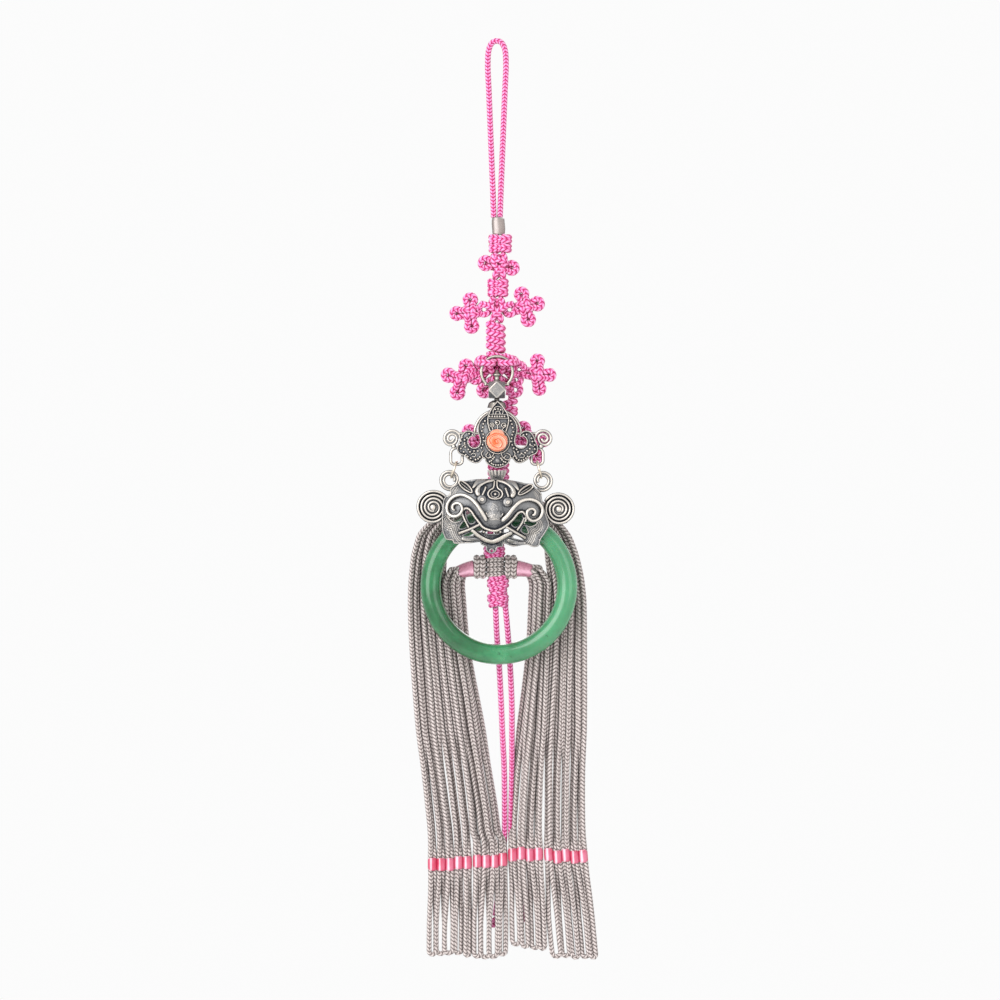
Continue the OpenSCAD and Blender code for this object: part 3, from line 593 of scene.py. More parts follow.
def smooth_route(points: Sequence[Sequence[float]], spacing: float, closed: bool = False) -> Array:
    """Runs a smooth line through points.

    Args:
        points: places in millimetres.
        spacing: distance between neighbouring points of the result, in millimetres.
        closed: whether the line returns to its start.

    Returns:
        An array of places, evenly spaced.
    """
    p = np.array(points, float)
    count = len(p)
    get = (lambda i: p[i % count]) if closed else (lambda i: p[min(max(i, 0), count - 1)])
    fine = []
    for i in range(count if closed else count - 1):
        a, b, c, d = get(i - 1), get(i), get(i + 1), get(i + 2)
        square, cube = 2 * a - 5 * b + 4 * c - d, 3 * b - a - 3 * c + d
        for t in np.linspace(0, 1, 12, endpoint=False):
            fine.append(0.5 * (2 * b + (c - a) * t + square * t * t + cube * t**3))
    fine.append(get(0) if closed else p[-1])
    fine = np.array(fine)
    length = np.concatenate([[0], np.cumsum(np.linalg.norm(np.diff(fine, axis=0), axis=1))])
    steps = max(int(round(length[-1] / spacing)), 3)
    want = np.linspace(0, length[-1], steps + 1)
    even = np.stack([np.interp(want, length, fine[:, k]) for k in range(fine.shape[1])], 1)
    return even[:-1] if closed else even


class CordMesh:
    """Gathers runs of cord into one mesh whose UV map follows each run."""

    def __init__(self, sides: int = 10) -> None:
        """Starts an empty mesh.

        Args:
            sides: points round each cord.
        """
        self.sides = sides
        self.verts: list[Array] = []
        self.faces: list[tuple[int, ...]] = []
        self.uvs: list[Flat] = []
        self.total = 0

    def run(
        self,
        route: Array,
        radius: Union[float, Sequence[float]],
        closed: bool = False,
        deep: float = 1.0,
        grain: Optional[float] = None,
    ) -> None:
        """Adds one run of cord.

        Args:
            route: evenly spaced places in millimetres.
            radius: radius in millimetres, or one for each place.
            closed: whether the run returns to its start.
            deep: depth of the section as a share of its width.
            grain: diameter that the braid's pattern is scaled to, in millimetres.
        """
        n = len(route)
        radii = np.full(n, radius, float) if np.isscalar(radius) else np.asarray(radius, float)
        grain = grain or 2 * float(radii.max())
        ahead = np.roll(route, -1, 0) - np.roll(route, 1, 0)
        if not closed:
            ahead[0], ahead[-1] = route[1] - route[0], route[-1] - route[-2]
        ahead /= np.maximum(np.linalg.norm(ahead, axis=1)[:, None], 1e-9)
        across = np.cross(ahead[0], [0, 1, 0.02])
        across /= np.linalg.norm(across)
        frames = []
        for i in range(n):
            across = across - ahead[i] * np.dot(across, ahead[i])
            across /= np.linalg.norm(across)
            frames.append(across.copy())
        side = np.array(frames)
        if closed:  # spread the leftover turn evenly
            last = side[-1] - ahead[0] * np.dot(side[-1], ahead[0])
            angle = math.atan2(np.dot(np.cross(side[0], last), ahead[0]), np.dot(side[0], last))
            share = -angle * np.arange(n) / n
            up = np.cross(ahead, side)
            side = side * np.cos(share)[:, None] + up * np.sin(share)[:, None]
        up = np.cross(ahead, side)
        gone = np.concatenate([[0], np.cumsum(np.linalg.norm(np.diff(route, axis=0), axis=1))]) / grain
        a = full_turn(self.sides)
        rings = [
            route[i] + radii[i] * (np.cos(a)[:, None] * side[i] + deep * np.sin(a)[:, None] * up[i])
            for i in range(n)
        ]
        self.loft(rings, gone, closed)

    def loft(self, rings: Sequence[Array], gone: Array, closed: bool = False) -> None:
        """Joins rings of points to a skin.

        Args:
            rings: as many points in each as the cord has sides.
            gone: the UV map's second part at each ring.
            closed: whether the last ring joins the first; otherwise both ends are capped.
        """
        n, base, s = len(rings), self.total, self.sides
        self.verts += rings
        for i in range(n if closed else n - 1):
            j = (i + 1) % n
            v0, v1 = gone[i], gone[i + 1] if i + 1 < n else gone[-1] + (gone[-1] - gone[-2])
            for k in range(s):
                m = (k + 1) % s
                self.faces.append((base + i * s + k, base + j * s + k, base + j * s + m, base + i * s + m))
                self.uvs += [(k / s, v0), (k / s, v1), ((k + 1) / s, v1), ((k + 1) / s, v0)]
        if not closed:
            for first, order in ((0, range(s)), (n - 1, range(s - 1, -1, -1))):
                self.faces.append(tuple(base + first * s + k for k in order))
                self.uvs += [(k / s, gone[first]) for k in order]
        self.total += n * s

    def build(self, name: str, material: Material) -> Object:
        """Makes the object.

        Args:
            name: the object's name.
            material: its material.

        Returns:
            The object, at the origin.
        """
        mesh = bpy.data.meshes.new(name)
        mesh.from_pydata(np.concatenate(self.verts) * MM, [], self.faces)
        layer = mesh.uv_layers.new(name="UVMap")
        layer.data.foreach_set("uv", np.array(self.uvs, float).ravel())
        mesh.materials.append(material)
        made = bpy.data.objects.new(name, mesh)
        bpy.context.scene.collection.objects.link(made)
        turn_outwards(made)
        mesh.shade_smooth()
        return made


def full_turn(count: int) -> Array:
    """Evenly spaced angles round a full turn, in radians."""
    return np.linspace(0, 2 * math.pi, count, endpoint=False)


def turn_outwards(piece: Object) -> None:
    """Points all faces of a closed piece outwards.

    Args:
        piece: the object.
    """
    pick(piece)
    bpy.ops.object.mode_set(mode="EDIT")
    bpy.ops.mesh.select_all(action="SELECT")
    bpy.ops.mesh.normals_make_consistent(inside=False)
    bpy.ops.object.mode_set(mode="OBJECT")


def pick(piece: Object) -> None:
    """Makes one object the only selected and active one.

    Args:
        piece: the object.
    """
    bpy.ops.object.select_all(action="DESELECT")
    piece.select_set(True)
    bpy.context.view_layer.objects.active = piece


def primitive(name: str, add: Callable[..., set], **sizes: float) -> Object:
    """Adds one primitive at the origin, with nothing else selected.

    Args:
        name: the object's name.
        add: the operator that adds it.
        sizes: its sizes.

    Returns:
        The object.
    """
    bpy.ops.object.select_all(action="DESELECT")
    add(location=(0, 0, 0), **sizes)
    made = bpy.context.object
    made.name = made.data.name = name
    return made


def points_of(mesh: bpy.types.Mesh) -> Array:
    """Reads the places of a mesh's points.

    Args:
        mesh: the mesh.

    Returns:
        One place in a row.
    """
    flat = np.empty(len(mesh.vertices) * 3)
    mesh.vertices.foreach_get("co", flat)
    return flat.reshape(-1, 3)


def settle(piece: Object, body: Body, *nodes: str) -> Object:
    """Puts a piece on its body and in the place of CAD nodes.

    Args:
        piece: the object.
        body: the body that it moves with.
        nodes: CAD nodes that it stands for.

    Returns:
        The same object.
    """
    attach(piece, body.value)
    if nodes:
        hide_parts(*nodes)
    LOG.info("%s rides on %s: %d faces", piece.name, body.value, len(piece.data.polygons))
    return piece


def millimetres(node: str) -> tuple[Array, Array]:
    """The lowest and the highest corner of a CAD node's box, in millimetres."""
    low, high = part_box(node)
    return np.array(low) / MM, np.array(high) / MM


# Knots


@dataclass
class Cord:
    """The braided cord that all knots are tied in, in millimetres."""

    diameter: float = 2.2

    @property
    def radius(self) -> float:
        """Half the diameter."""
        return self.diameter / 2


def around(
    centre: Flat, half_width: float, half_depth: float, level: float, tilt: float, count: int = 36
) -> Array:
    """One turn of cord round the core.

    Args:
        centre: x and y of the core in millimetres.
        half_width: reach of the cord's middle to each side.
        half_depth: reach to the front and back.
        level: height of the turn's middle.
        tilt: rise from the left end to the right end.
        count: points.

    Returns:
        The closed route.
    """
    out = []
    for a in full_turn(count):
        c, s = math.cos(a), math.sin(a)
        x = half_width * math.copysign(abs(c) ** 0.75, c)
        y = half_depth * math.copysign(abs(s) ** 0.8, s)
        out.append((centre[0] + x, centre[1] - y, level + tilt * x / max(half_width, 0.1) / 2))
    return np.array(out)


def hairpin(centre: Flat, angle: float, reach: float, bend: float, gap: float, weave: float) -> Array:
    """A loop of cord whose legs cross the middle of a knot over and under.

    Args:
        centre: x and z of the knot's middle in millimetres.
        angle: direction of the loop in degrees, 0 to the right.
        reach: distance to the middle of the loop's bend.
        bend: radius of the bend.
        gap: half the distance between the legs.
        weave: how far the legs rise where they cross others.

    Returns:
        The open route.
    """
    half = math.pi - math.asin(min(gap / bend, 0.95))
    flat = [
        (-0.5, -gap, weave * 0.4), (gap * 0.5, -gap, -weave * 0.5), (gap, -gap, -weave),
        (gap * 1.9, -gap, -weave * 0.4),
    ]
    flat += [
        (reach + bend * math.cos(a), bend * math.sin(a), 0.25 * weave * math.sin(a))
        for a in np.linspace(-half, half, 9)
    ]
    flat += [
        (gap * 1.9, gap, weave * 0.4), (gap, gap, weave), (gap * 0.5, gap, weave * 0.5),
        (-0.5, gap, -weave * 0.4),
    ]
    c, s = math.cos(math.radians(angle)), math.sin(math.radians(angle))
    return np.array([(centre[0] + u * c - v * s, w, centre[1] + u * s + v * c) for u, v, w in flat])


@dataclass
class Petal:
    """One petal of a flower: its direction in degrees, reach and bend in millimetres."""

    angle: float
    reach: float
    bend: float = 2.05


class KnotPiece:
    """A knot made of runs of one cord."""

    def __init__(self, node: str, cord: Cord, depth: float, material: Material) -> None:
        """Prepares a knot in a CAD node's place.

        Args:
            node: the CAD node that it replaces.
            cord: the cord.
            depth: the knot's depth in millimetres.
            material: the cord's finish.
        """
        self.node = node
        self.cord = cord
        self.depth = depth
        self.material = material
        self.mesh = CordMesh()
        low, high = millimetres(node)
        self.x = (low[0] + high[0]) / 2
        self.width = high[0] - low[0]
        self.top, self.bottom = high[2], low[2]
        self.level = 0.0

    def add(self, *points: Point, closed: bool = False, radius: Optional[float] = None) -> None:
        """Adds a run of cord through points in millimetres, measured from the knot's level."""
        route = smooth_route(np.array(points) + (0, 0, self.level), 0.75, closed)
        self.mesh.run(route, radius or self.cord.radius, closed, grain=self.cord.diameter)

    def lobes(self, count: int, cross: float = 1.5) -> None:
        """Stacked lobes, each of two turns of cord that cross in front.

        Args:
            count: number of lobes.
            cross: how far each turn rises or falls from end to end.
        """
        r = self.cord.radius
        for k in range(count):
            level = self.top - (self.top - self.bottom) * (k + 0.5) / count
            half_width = self.width / 2 - r - 0.1 * (k % 2)
            for rise, shift in ((cross, 0.0), (-cross, 0.12)):
                self.add(
                    *around((self.x, 0), half_width, self.depth / 2 - r + shift, level, rise), closed=True
                )

    def ridges(self, count: int, slant: float, margin: float = 0.3) -> None:
        """Single slanted turns stacked closely.

        Args:
            count: number of turns.
            slant: fall from the left end to the right end.
            margin: what stays free at the top and at the bottom.
        """
        pitch = (self.top - self.bottom - 2 * margin) / count
        r = min(pitch * 0.56, 1.5)
        for k in range(count):
            level = self.top - margin - pitch * (k + 0.5)
            self.add(
                *around((self.x, 0), self.width / 2 - r, self.depth / 2 - r * 0.9, level, -slant),
                closed=True,
                radius=r,
            )

    def crossed(self, widths: Sequence[float], longer: float) -> None:
        """Turns that cross each other, with a core.

        Args:
            widths: full widths of the turns from the top down.
            longer: how much lower than the node the turns end.
        """
        r, top = 0.98, self.top - 0.2
        tall = self.top - self.bottom - 0.4 + longer
        for j, width in enumerate(widths):
            level = top - tall * (j + 0.5) / len(widths)
            rise = 1.7 if j % 2 else 1.3
            for way in (-1, 1):
                half_depth = self.depth / 2 - r + 0.08 * way
                self.add(
                    *around((self.x, 0), width / 2 - r, half_depth, level, way * rise),
                    closed=True,
                    radius=r,
                )
        self.core(self.x, self.top, self.bottom, width=4.2, deep=0.6)

    def core(self, x: float, top: float, bottom: float, width: float, deep: float = 1.0) -> None:
        """Cords that cross in front of and behind the core.

        Args:
            x: middle.
            top: upper end.
            bottom: lower end.
            width: full width.
            deep: its depth as a share of the knot's.
        """
        r, h = self.cord.radius, top - bottom
        a = width / 2 - r
        for face in (-1, 1):
            y = face * (self.depth * deep / 2 - r)
            for s, lift in ((1, 0.0), (-1, 0.35)):
                self.add(
                    (x + s * a * 0.55, y * 0.5, top - 0.4),
                    (x + s * a, y, top - h * 0.22),
                    (x + s * a * 0.85, y * 1.05, top - h * 0.45),
                    (x - s * a * 0.1, y * (1.05 - lift * 0.4), top - h * 0.66),
                    (x - s * a * 0.75, y * 0.95, top - h * 0.84),
                    (x - s * a * 0.6, y * 0.5, bottom + 0.3),
                )
        self.add((x, 0, top - 0.6), (x, 0, bottom + 0.6), radius=r * 1.15)

    def flower(self, centre: Flat, petals: Sequence[Petal], stem: Optional[Flat] = None) -> None:
        """A small flower of looped cord, woven in its middle.

        Args:
            centre: x and z of its middle.
            petals: its loops.
            stem: x and z where its cords come from.
        """
        gap = self.cord.radius * 0.96
        for petal in petals:
            bend = petal.bend - 0.28
            self.add(
                *hairpin(centre, petal.angle, petal.reach + 0.2, bend, gap, weave=1.0),
                radius=self.cord.radius * 1.07,
            )
            c, s = math.cos(math.radians(petal.angle)), math.sin(math.radians(petal.angle))
            filling = [
                (centre[0] + u * c, 1.1 - 0.1 * u / petal.reach, centre[1] + u * s)
                for u in (gap * 2, petal.reach * 0.75, petal.reach + 0.5)
            ]
            self.add(*filling, radius=self.cord.radius * 0.8)
        if stem:
            dx, dz = stem[0] - centre[0], stem[1] - centre[1]
            n = math.hypot(dx, dz)
            ux, uz = dx / n, dz / n
            for v in (-gap, gap):
                rise = 1.0 if v > 0 else -1.0
                places = (
                    (-0.5, -0.4 * rise), (gap * 0.5, 0.5 * rise), (gap, rise), (gap * 2, 0.3 * rise),
                    (max(n, gap * 3), -0.6 * rise),
                )
                self.add(*[(centre[0] + u * ux - v * uz, y, centre[1] + u * uz + v * ux) for u, y in places])

    def ring_link(self, x: float, z: float, bend: float = 1.85, level: float = 0.0) -> None:
        """A round loop between the core and a flower.

        Args:
            x: the loop's middle.
            z: height of its middle.
            bend: radius of the loop.
            level: depth of the loop in front of or behind the knot's middle.
        """
        self.add(
            *[
                (x + bend * math.cos(a), level + 0.35 * math.sin(2 * a), z + bend * math.sin(a))
                for a in full_turn(10)
            ],
            closed=True,
        )

    def finish(self) -> None:
        """Builds the knot in place of its node."""
        settle(self.mesh.build(self.node + "_cord", self.material), Body.KNOTWORK, self.node)


@dataclass
class Knotwork:
    """The knotted cord from the binding down to the tails."""

    palette: Palette
    cord: Cord = field(default_factory=lambda: Cord(2.45))
    depth: float = 5.2

    def build(self) -> None:
        """Builds every knot."""
        self._collars()
        self._ear_knot()
        self._upper_flower()
        self._lower_flower()
        self._hidden_flower()

    def _knot(self, node: str) -> KnotPiece:
        """Starts the knot of one CAD node."""
        return KnotPiece(node, self.cord, self.depth, self.palette.pink)

    def _collars(self) -> None:
        """Collars of wound cord."""
        for node in ("upper_collar", "middle_collar"):
            k = self._knot(node)
            k.lobes(2)
            k.core(k.x, k.top, k.bottom, k.width * 0.6, deep=0.8)
            k.finish()
        for node, count, slant in (("lower_collar", 4, 1.6), ("knot_column", 5, -0.9)):
            k = self._knot(node)
            k.ridges(count, slant)
            k.core(k.x, k.top, k.bottom - 0.8, k.width * 0.55, deep=0.7)
            k.finish()
        k = self._knot("chin_collar")
        k.crossed((7.8, 8.6, 7.9), longer=1.7)
        for side in (-1, 1):  # up to the foot of the upper tassel's barrel
            k.add(
                (k.x + side * 1.3, 0.8, -183.4),
                (k.x + side * 1.4, 0.5, -188.0),
                (k.x + side * 1.7, 0.1, k.top - 1.0),
            )
        k.finish()
        k = self._knot("tail_knot_stack")
        k.crossed((7.7, 8.7, 7.3, 6.7, 8.5, 7.5), longer=0.0)
        for x, _, z in (LEFT_TAIL_ROUTE[0], RIGHT_TAIL_ROUTE[0]):
            k.add((x * 0.8 + 0.3, 0, z + 6), (x, 0, z + 2), (x, 0, z + 0.1), radius=1.1)
        k.finish()

    def _ear_knot(self) -> None:
        """A core with an ear at each side."""
        k = self._knot("ear_knot")
        x, k.level = 0.9, k.top
        k.core(x, 0, k.bottom - k.top, width=6.6)
        r = self.cord.radius
        k.add(*hairpin((x - 0.4, -4.6), 173, reach=4.8, bend=1.9, gap=1.2, weave=0.9), radius=r * 1.07)
        k.add(*hairpin((x + 0.4, -5.4), -5, reach=4.4, bend=1.85, gap=1.2, weave=0.9), radius=r * 1.07)
        k.add((x - 2.4, 1.1, -4.4), (x - 4.2, 1.05, -4.2), (x - 5.5, 0.95, -4.0), radius=r * 0.85)
        k.add((x + 2.4, 1.1, -5.5), (x + 4.0, 1.05, -5.7), (x + 5.1, 0.95, -5.8), radius=r * 0.85)
        k.add((x - 2.6, -0.6, -1.2), (x - 0.8, -2.0, -2.6), (x + 1.6, -2.2, -3.4), (x + 2.9, -0.9, -4.4))
        k.finish()

    def _upper_flower(self) -> None:
        """The flower knot under the second collar."""
        k = self._knot("upper_flower_knot")
        k.level = -99.6
        k.core(0, 0, -9.6, width=6.6)
        for s, x, z in ((-1, -4.9, -4.8), (1, 4.9, -4.9)):
            k.ring_link(x, z, 1.95)
            k.add(
                (x + s * 1.2, -0.6, z + 2.2), (x - s * 0.8, -1.6, z + 1.6), (x - s * 3.2, -2.1, z + 0.2),
                (x - s * 5.2, -1.2, z - 1.6),
            )
        k.flower((-10.4, -6.2), [Petal(88, 4.8), Petal(182, 4.8, 1.95), Petal(278, 4.9, 2.0)], (-6.4, -5.3))
        k.flower((10.8, -3.6), [Petal(106, 4.6), Petal(12, 4.6), Petal(284, 5.0)], (6.6, -4.8))
        k.finish()

    def _lower_flower(self) -> None:
        """The flower knot that carries the hanger ring."""
        k = self._knot("lower_flower_knot")
        k.level = -120.8
        k.add(*around((0.2, 0), 3.2, 1.6, -1.5, -1.4), closed=True)
        k.add(*around((0.2, 0), 3.0, 1.5, -3.6, 1.2), closed=True)
        k.core(0, -2.5, -13.0, width=7.0)
        for x, z, bend in (
            (-5.6, -4.4, 2.1), (5.6, -4.4, 2.1), (-8.2, -9.6, 1.9), (8.6, -6.4, 2.0), (7.4, -10.6, 1.8)
        ):
            k.ring_link(x, z, bend, 0.25 if bend < 2 else -0.2)
        k.add((2.6, -1.4, -1.4), (5.2, -2.0, -2.4), (8.2, -1.7, -4.2), (11.4, -1.0, -7.2))
        k.add((-2.4, 1.2, -2.4), (-5.8, 1.8, -6.6), (-9.0, 1.2, -9.2), (-11.6, 0.6, -10.4))
        k.flower((-13.5, -10.6), [Petal(72, 5.2), Petal(162, 5.2), Petal(252, 5.0, 2.1)], (-7.6, -7.2))
        k.flower((15.4, -8.8), [Petal(88, 5.2, 1.95), Petal(0, 4.6, 1.75), Petal(280, 5.2, 1.8)], (9.4, -7.6))
        for s, x, z in ((-1, -4.9, -14.8), (1, 7.0, -14.8)):
            angle = 225 if s < 0 else -42
            k.add(*hairpin((x - s * 2.9, z + 2.9), angle, reach=3.9, bend=2.0, gap=1.2, weave=0.8))
        for level, tilt in ((19.4, 0.9), (21.6, -0.9), (23.8, 0.7)):
            k.add(*around((5.0, 0), 1.95, 1.3, -level, tilt), closed=True)
        k.add((5.4, 0, -13.5), (5.6, 0, -17), (5.2, 0, -19.5))
        for side in (-1, 1):
            k.add(
                (side * 1.0, 1.2, -6.2), (side * 3.8, 1.5, -7.6), (side * 5.2, 1.4, -9.4),
                (side * 6.4, 1.0, -11.4), radius=1.25,
            )
            k.add(
                (side * 0.8, 1.0, -9.6), (side * 3.9, 1.4, -11.6), (side * 4.8, 1.4, -13.6),
                (side * 4.6, 1.0, -16.6),
            )
        self._front_loop(k, -4.4)
        k.finish()

    def _front_loop(self, k: KnotPiece, level: float) -> None:
        """Cord that passes over both sides of the hanger ring and back through it.

        Args:
            k: the knot.
            level: its height.
        """
        low, _ = millimetres("hanger_ring")
        front = low[1] - self.cord.radius - 0.3
        for s in (-1, 1):
            k.add(
                (s * 5.6, -0.6, level - 0.2), (s * 6.9, -3.2, level), (s * 6.8, front + 2.2, level + 0.1),
                (s * 5.2, front, level), (s * 3.2, front - 0.05, level - 0.1),
                (s * 1.6, front + 0.9, level - 0.1), (s * 1.3, front + 3.5, level), (s * 1.25, -1.4, level),
            )

    def _hidden_flower(self) -> None:
        """The flower knot behind the upper plate."""
        k = self._knot("hidden_flower_knot")
        k.level = -146.1
        k.add(*around((3, 0), 2.2, 1.4, -1.8, 0.6), closed=True)
        k.add(*around((3, 0), 2.2, 1.4, -4.1, -0.6), closed=True)
        k.core(0.6, -5.2, -16.7, width=7.6)
        k.flower((-10.0, -9.0), [Petal(100, 3.6, 1.95), Petal(-90, 3.6, 1.9)], (-2.6, -8.2))
        k.flower((12.4, -8.4), [Petal(118, 4.6), Petal(0, 5.2, 2.0), Petal(-66, 6.6, 2.0)], (3.4, -7.8))
        k.finish()


# Free cords

LOOP_ROUTE: tuple[Point, ...] = (
    (1.2, 0, -69), (1.5, 0, -60), (1.9, 0, -50), (2.3, 0, -40), (2.7, 0, -30), (3.1, 0, -20), (3.5, 0, -11),
    (3.2, 0, -5), (1.9, 0, -1.9), (0, 0, -1.1), (-1.9, 0, -1.9), (-3.2, 0, -5), (-3.5, 0, -11),
    (-3.1, 0, -20), (-2.7, 0, -30), (-2.3, 0, -40), (-1.9, 0, -50), (-1.5, 0, -60), (-1.2, 0, -69),
)
LEFT_TAIL_ROUTE: tuple[Point, ...] = (
    (-0.5, 0, -219), (0, 0, -230), (0.8, 0, -240), (1.6, 0, -255), (2.2, 1.4, -269), (2.8, 3.6, -281),
    (3, 3.8, -296), (2.9, 3.8, -308), (2, 3.8, -318), (0.6, 3.8, -328), (-0.6, 3.8, -338),
)
RIGHT_TAIL_ROUTE: tuple[Point, ...] = (
    (3.3, 0, -219), (4.3, 0, -230), (5, 0, -240), (5.7, 0, -255), (5.8, 1.4, -269), (5.8, 3.6, -281),
    (5.5, 3.8, -296), (5.4, 3.8, -308), (6.6, 3.8, -318), (8.6, 3.8, -328), (10.2, 3.8, -336),
)


@dataclass
class FreeCord:
    """A cord with its own length: the hanging loop or a tail."""

    node: str
    route: Sequence[Point]
    far_end: str
    palette: Palette
    cord: Cord = field(default_factory=Cord)
    knot: Optional[str] = None

    def build(self) -> None:
        path = smooth_route(self.route, 1.1)
        mesh = CordMesh(12)
        mesh.run(path, self.cord.radius)
        made = settle(mesh.build(self.node + "_braid", self.palette.pink), Body.KNOTWORK, self.node)
        on_it = [self._end_knot()] if self.knot else []
        tuple(path[0] * MM)
        [tuple(p * MM) for p in path]

    def _end_knot(self) -> Object:
        """A small overhand knot on the tail's end.

        Returns:
            The knot.
        """
        low, high = millimetres(self.knot)
        x, y, z = (low + high) / 2
        mesh = CordMesh()
        for level, tilt in ((1.0, 0.7), (0.0, -0.9), (-1.1, 0.5)):
            mesh.run(smooth_route(around((x, y), 0.95, 0.85, z + level, tilt, 14), 0.5, True), 0.85, True)
        mesh.run(smooth_route([(x, y, z + 2.1), (x + 0.1, y, z), (x, y, z - 1.9)], 0.6), 0.7)
        return settle(mesh.build(self.knot + "_turns", self.palette.pink), Body.KNOTWORK, self.knot)


@dataclass
class LoopBinding:
    """Thread wound round both legs of the hanging loop."""

    palette: Palette

    def build(self) -> None:
        """Builds the winding."""
        low, high = millimetres("loop_binding")
        x, width, depth = (low[0] + high[0]) / 2, high[0] - low[0], high[1] - low[1]
        levels = np.linspace(high[2], low[2], 30)
        swell = [
            width / 2 * (0.93 + 0.07 * math.sin(math.pi * t) + 0.012 * math.sin(40 * t))
            for t in np.linspace(0, 1, 30)
        ]
        swell[0] = swell[-1] = width * 0.4
        mesh = CordMesh(24)
        mesh.run(
            np.array([(x + 0.1 * math.sin(z), 0, z) for z in levels]), swell, deep=depth / width, grain=1.9
        )
        settle(mesh.build("loop_binding_thread", self.palette.grey_thread), Body.KNOTWORK, "loop_binding")


# Tassels


Spread = tuple[float, float, float]

# how a side's pairs lie at some levels: share of the length gone down, then the outermost pair's place
# and the distance between pairs, both as shares of the tassel's half width
LEFT_OUTER = (
    (0.04, 0.6, 0.05), (0.08, 0.82, 0.062), (0.11, 0.885, 0.068), (0.15, 0.927, 0.075),
    (0.23, 0.953, 0.079), (0.35, 0.93, 0.084), (0.52, 0.86, 0.091), (0.67, 0.774, 0.096),
    (0.78, 0.73, 0.098), (1.0, 0.73, 0.098),
)
LEFT_INNER = (
    (0.165, 0.50, 0.045), (0.19, 0.56, 0.05), (0.23, 0.555, 0.052), (0.35, 0.508, 0.056),
    (0.52, 0.397, 0.073), (0.67, 0.292, 0.083), (0.74, 0.258, 0.088), (0.78, 0.222, 0.096),
    (0.985, 0.222, 0.096),
)
RIGHT_OUTER = (
    (0.04, 0.56, 0.045), (0.08, 0.75, 0.055), (0.11, 0.83, 0.06), (0.15, 0.895, 0.07), (0.2, 0.945, 0.075),
    (0.275, 0.968, 0.08), (0.52, 0.96, 0.089), (0.67, 0.957, 0.093), (0.78, 0.97, 0.0965),
    (0.89, 1.03, 0.1), (1.0, 1.1, 0.104),
)
RIGHT_INNER = (
    (0.165, 0.47, 0.045), (0.19, 0.56, 0.05), (0.23, 0.561, 0.05), (0.35, 0.542, 0.055), (0.52, 0.503, 0.077),
    (0.67, 0.475, 0.09), (0.78, 0.469, 0.097), (0.89, 0.495, 0.098), (0.985, 0.52, 0.1),
)


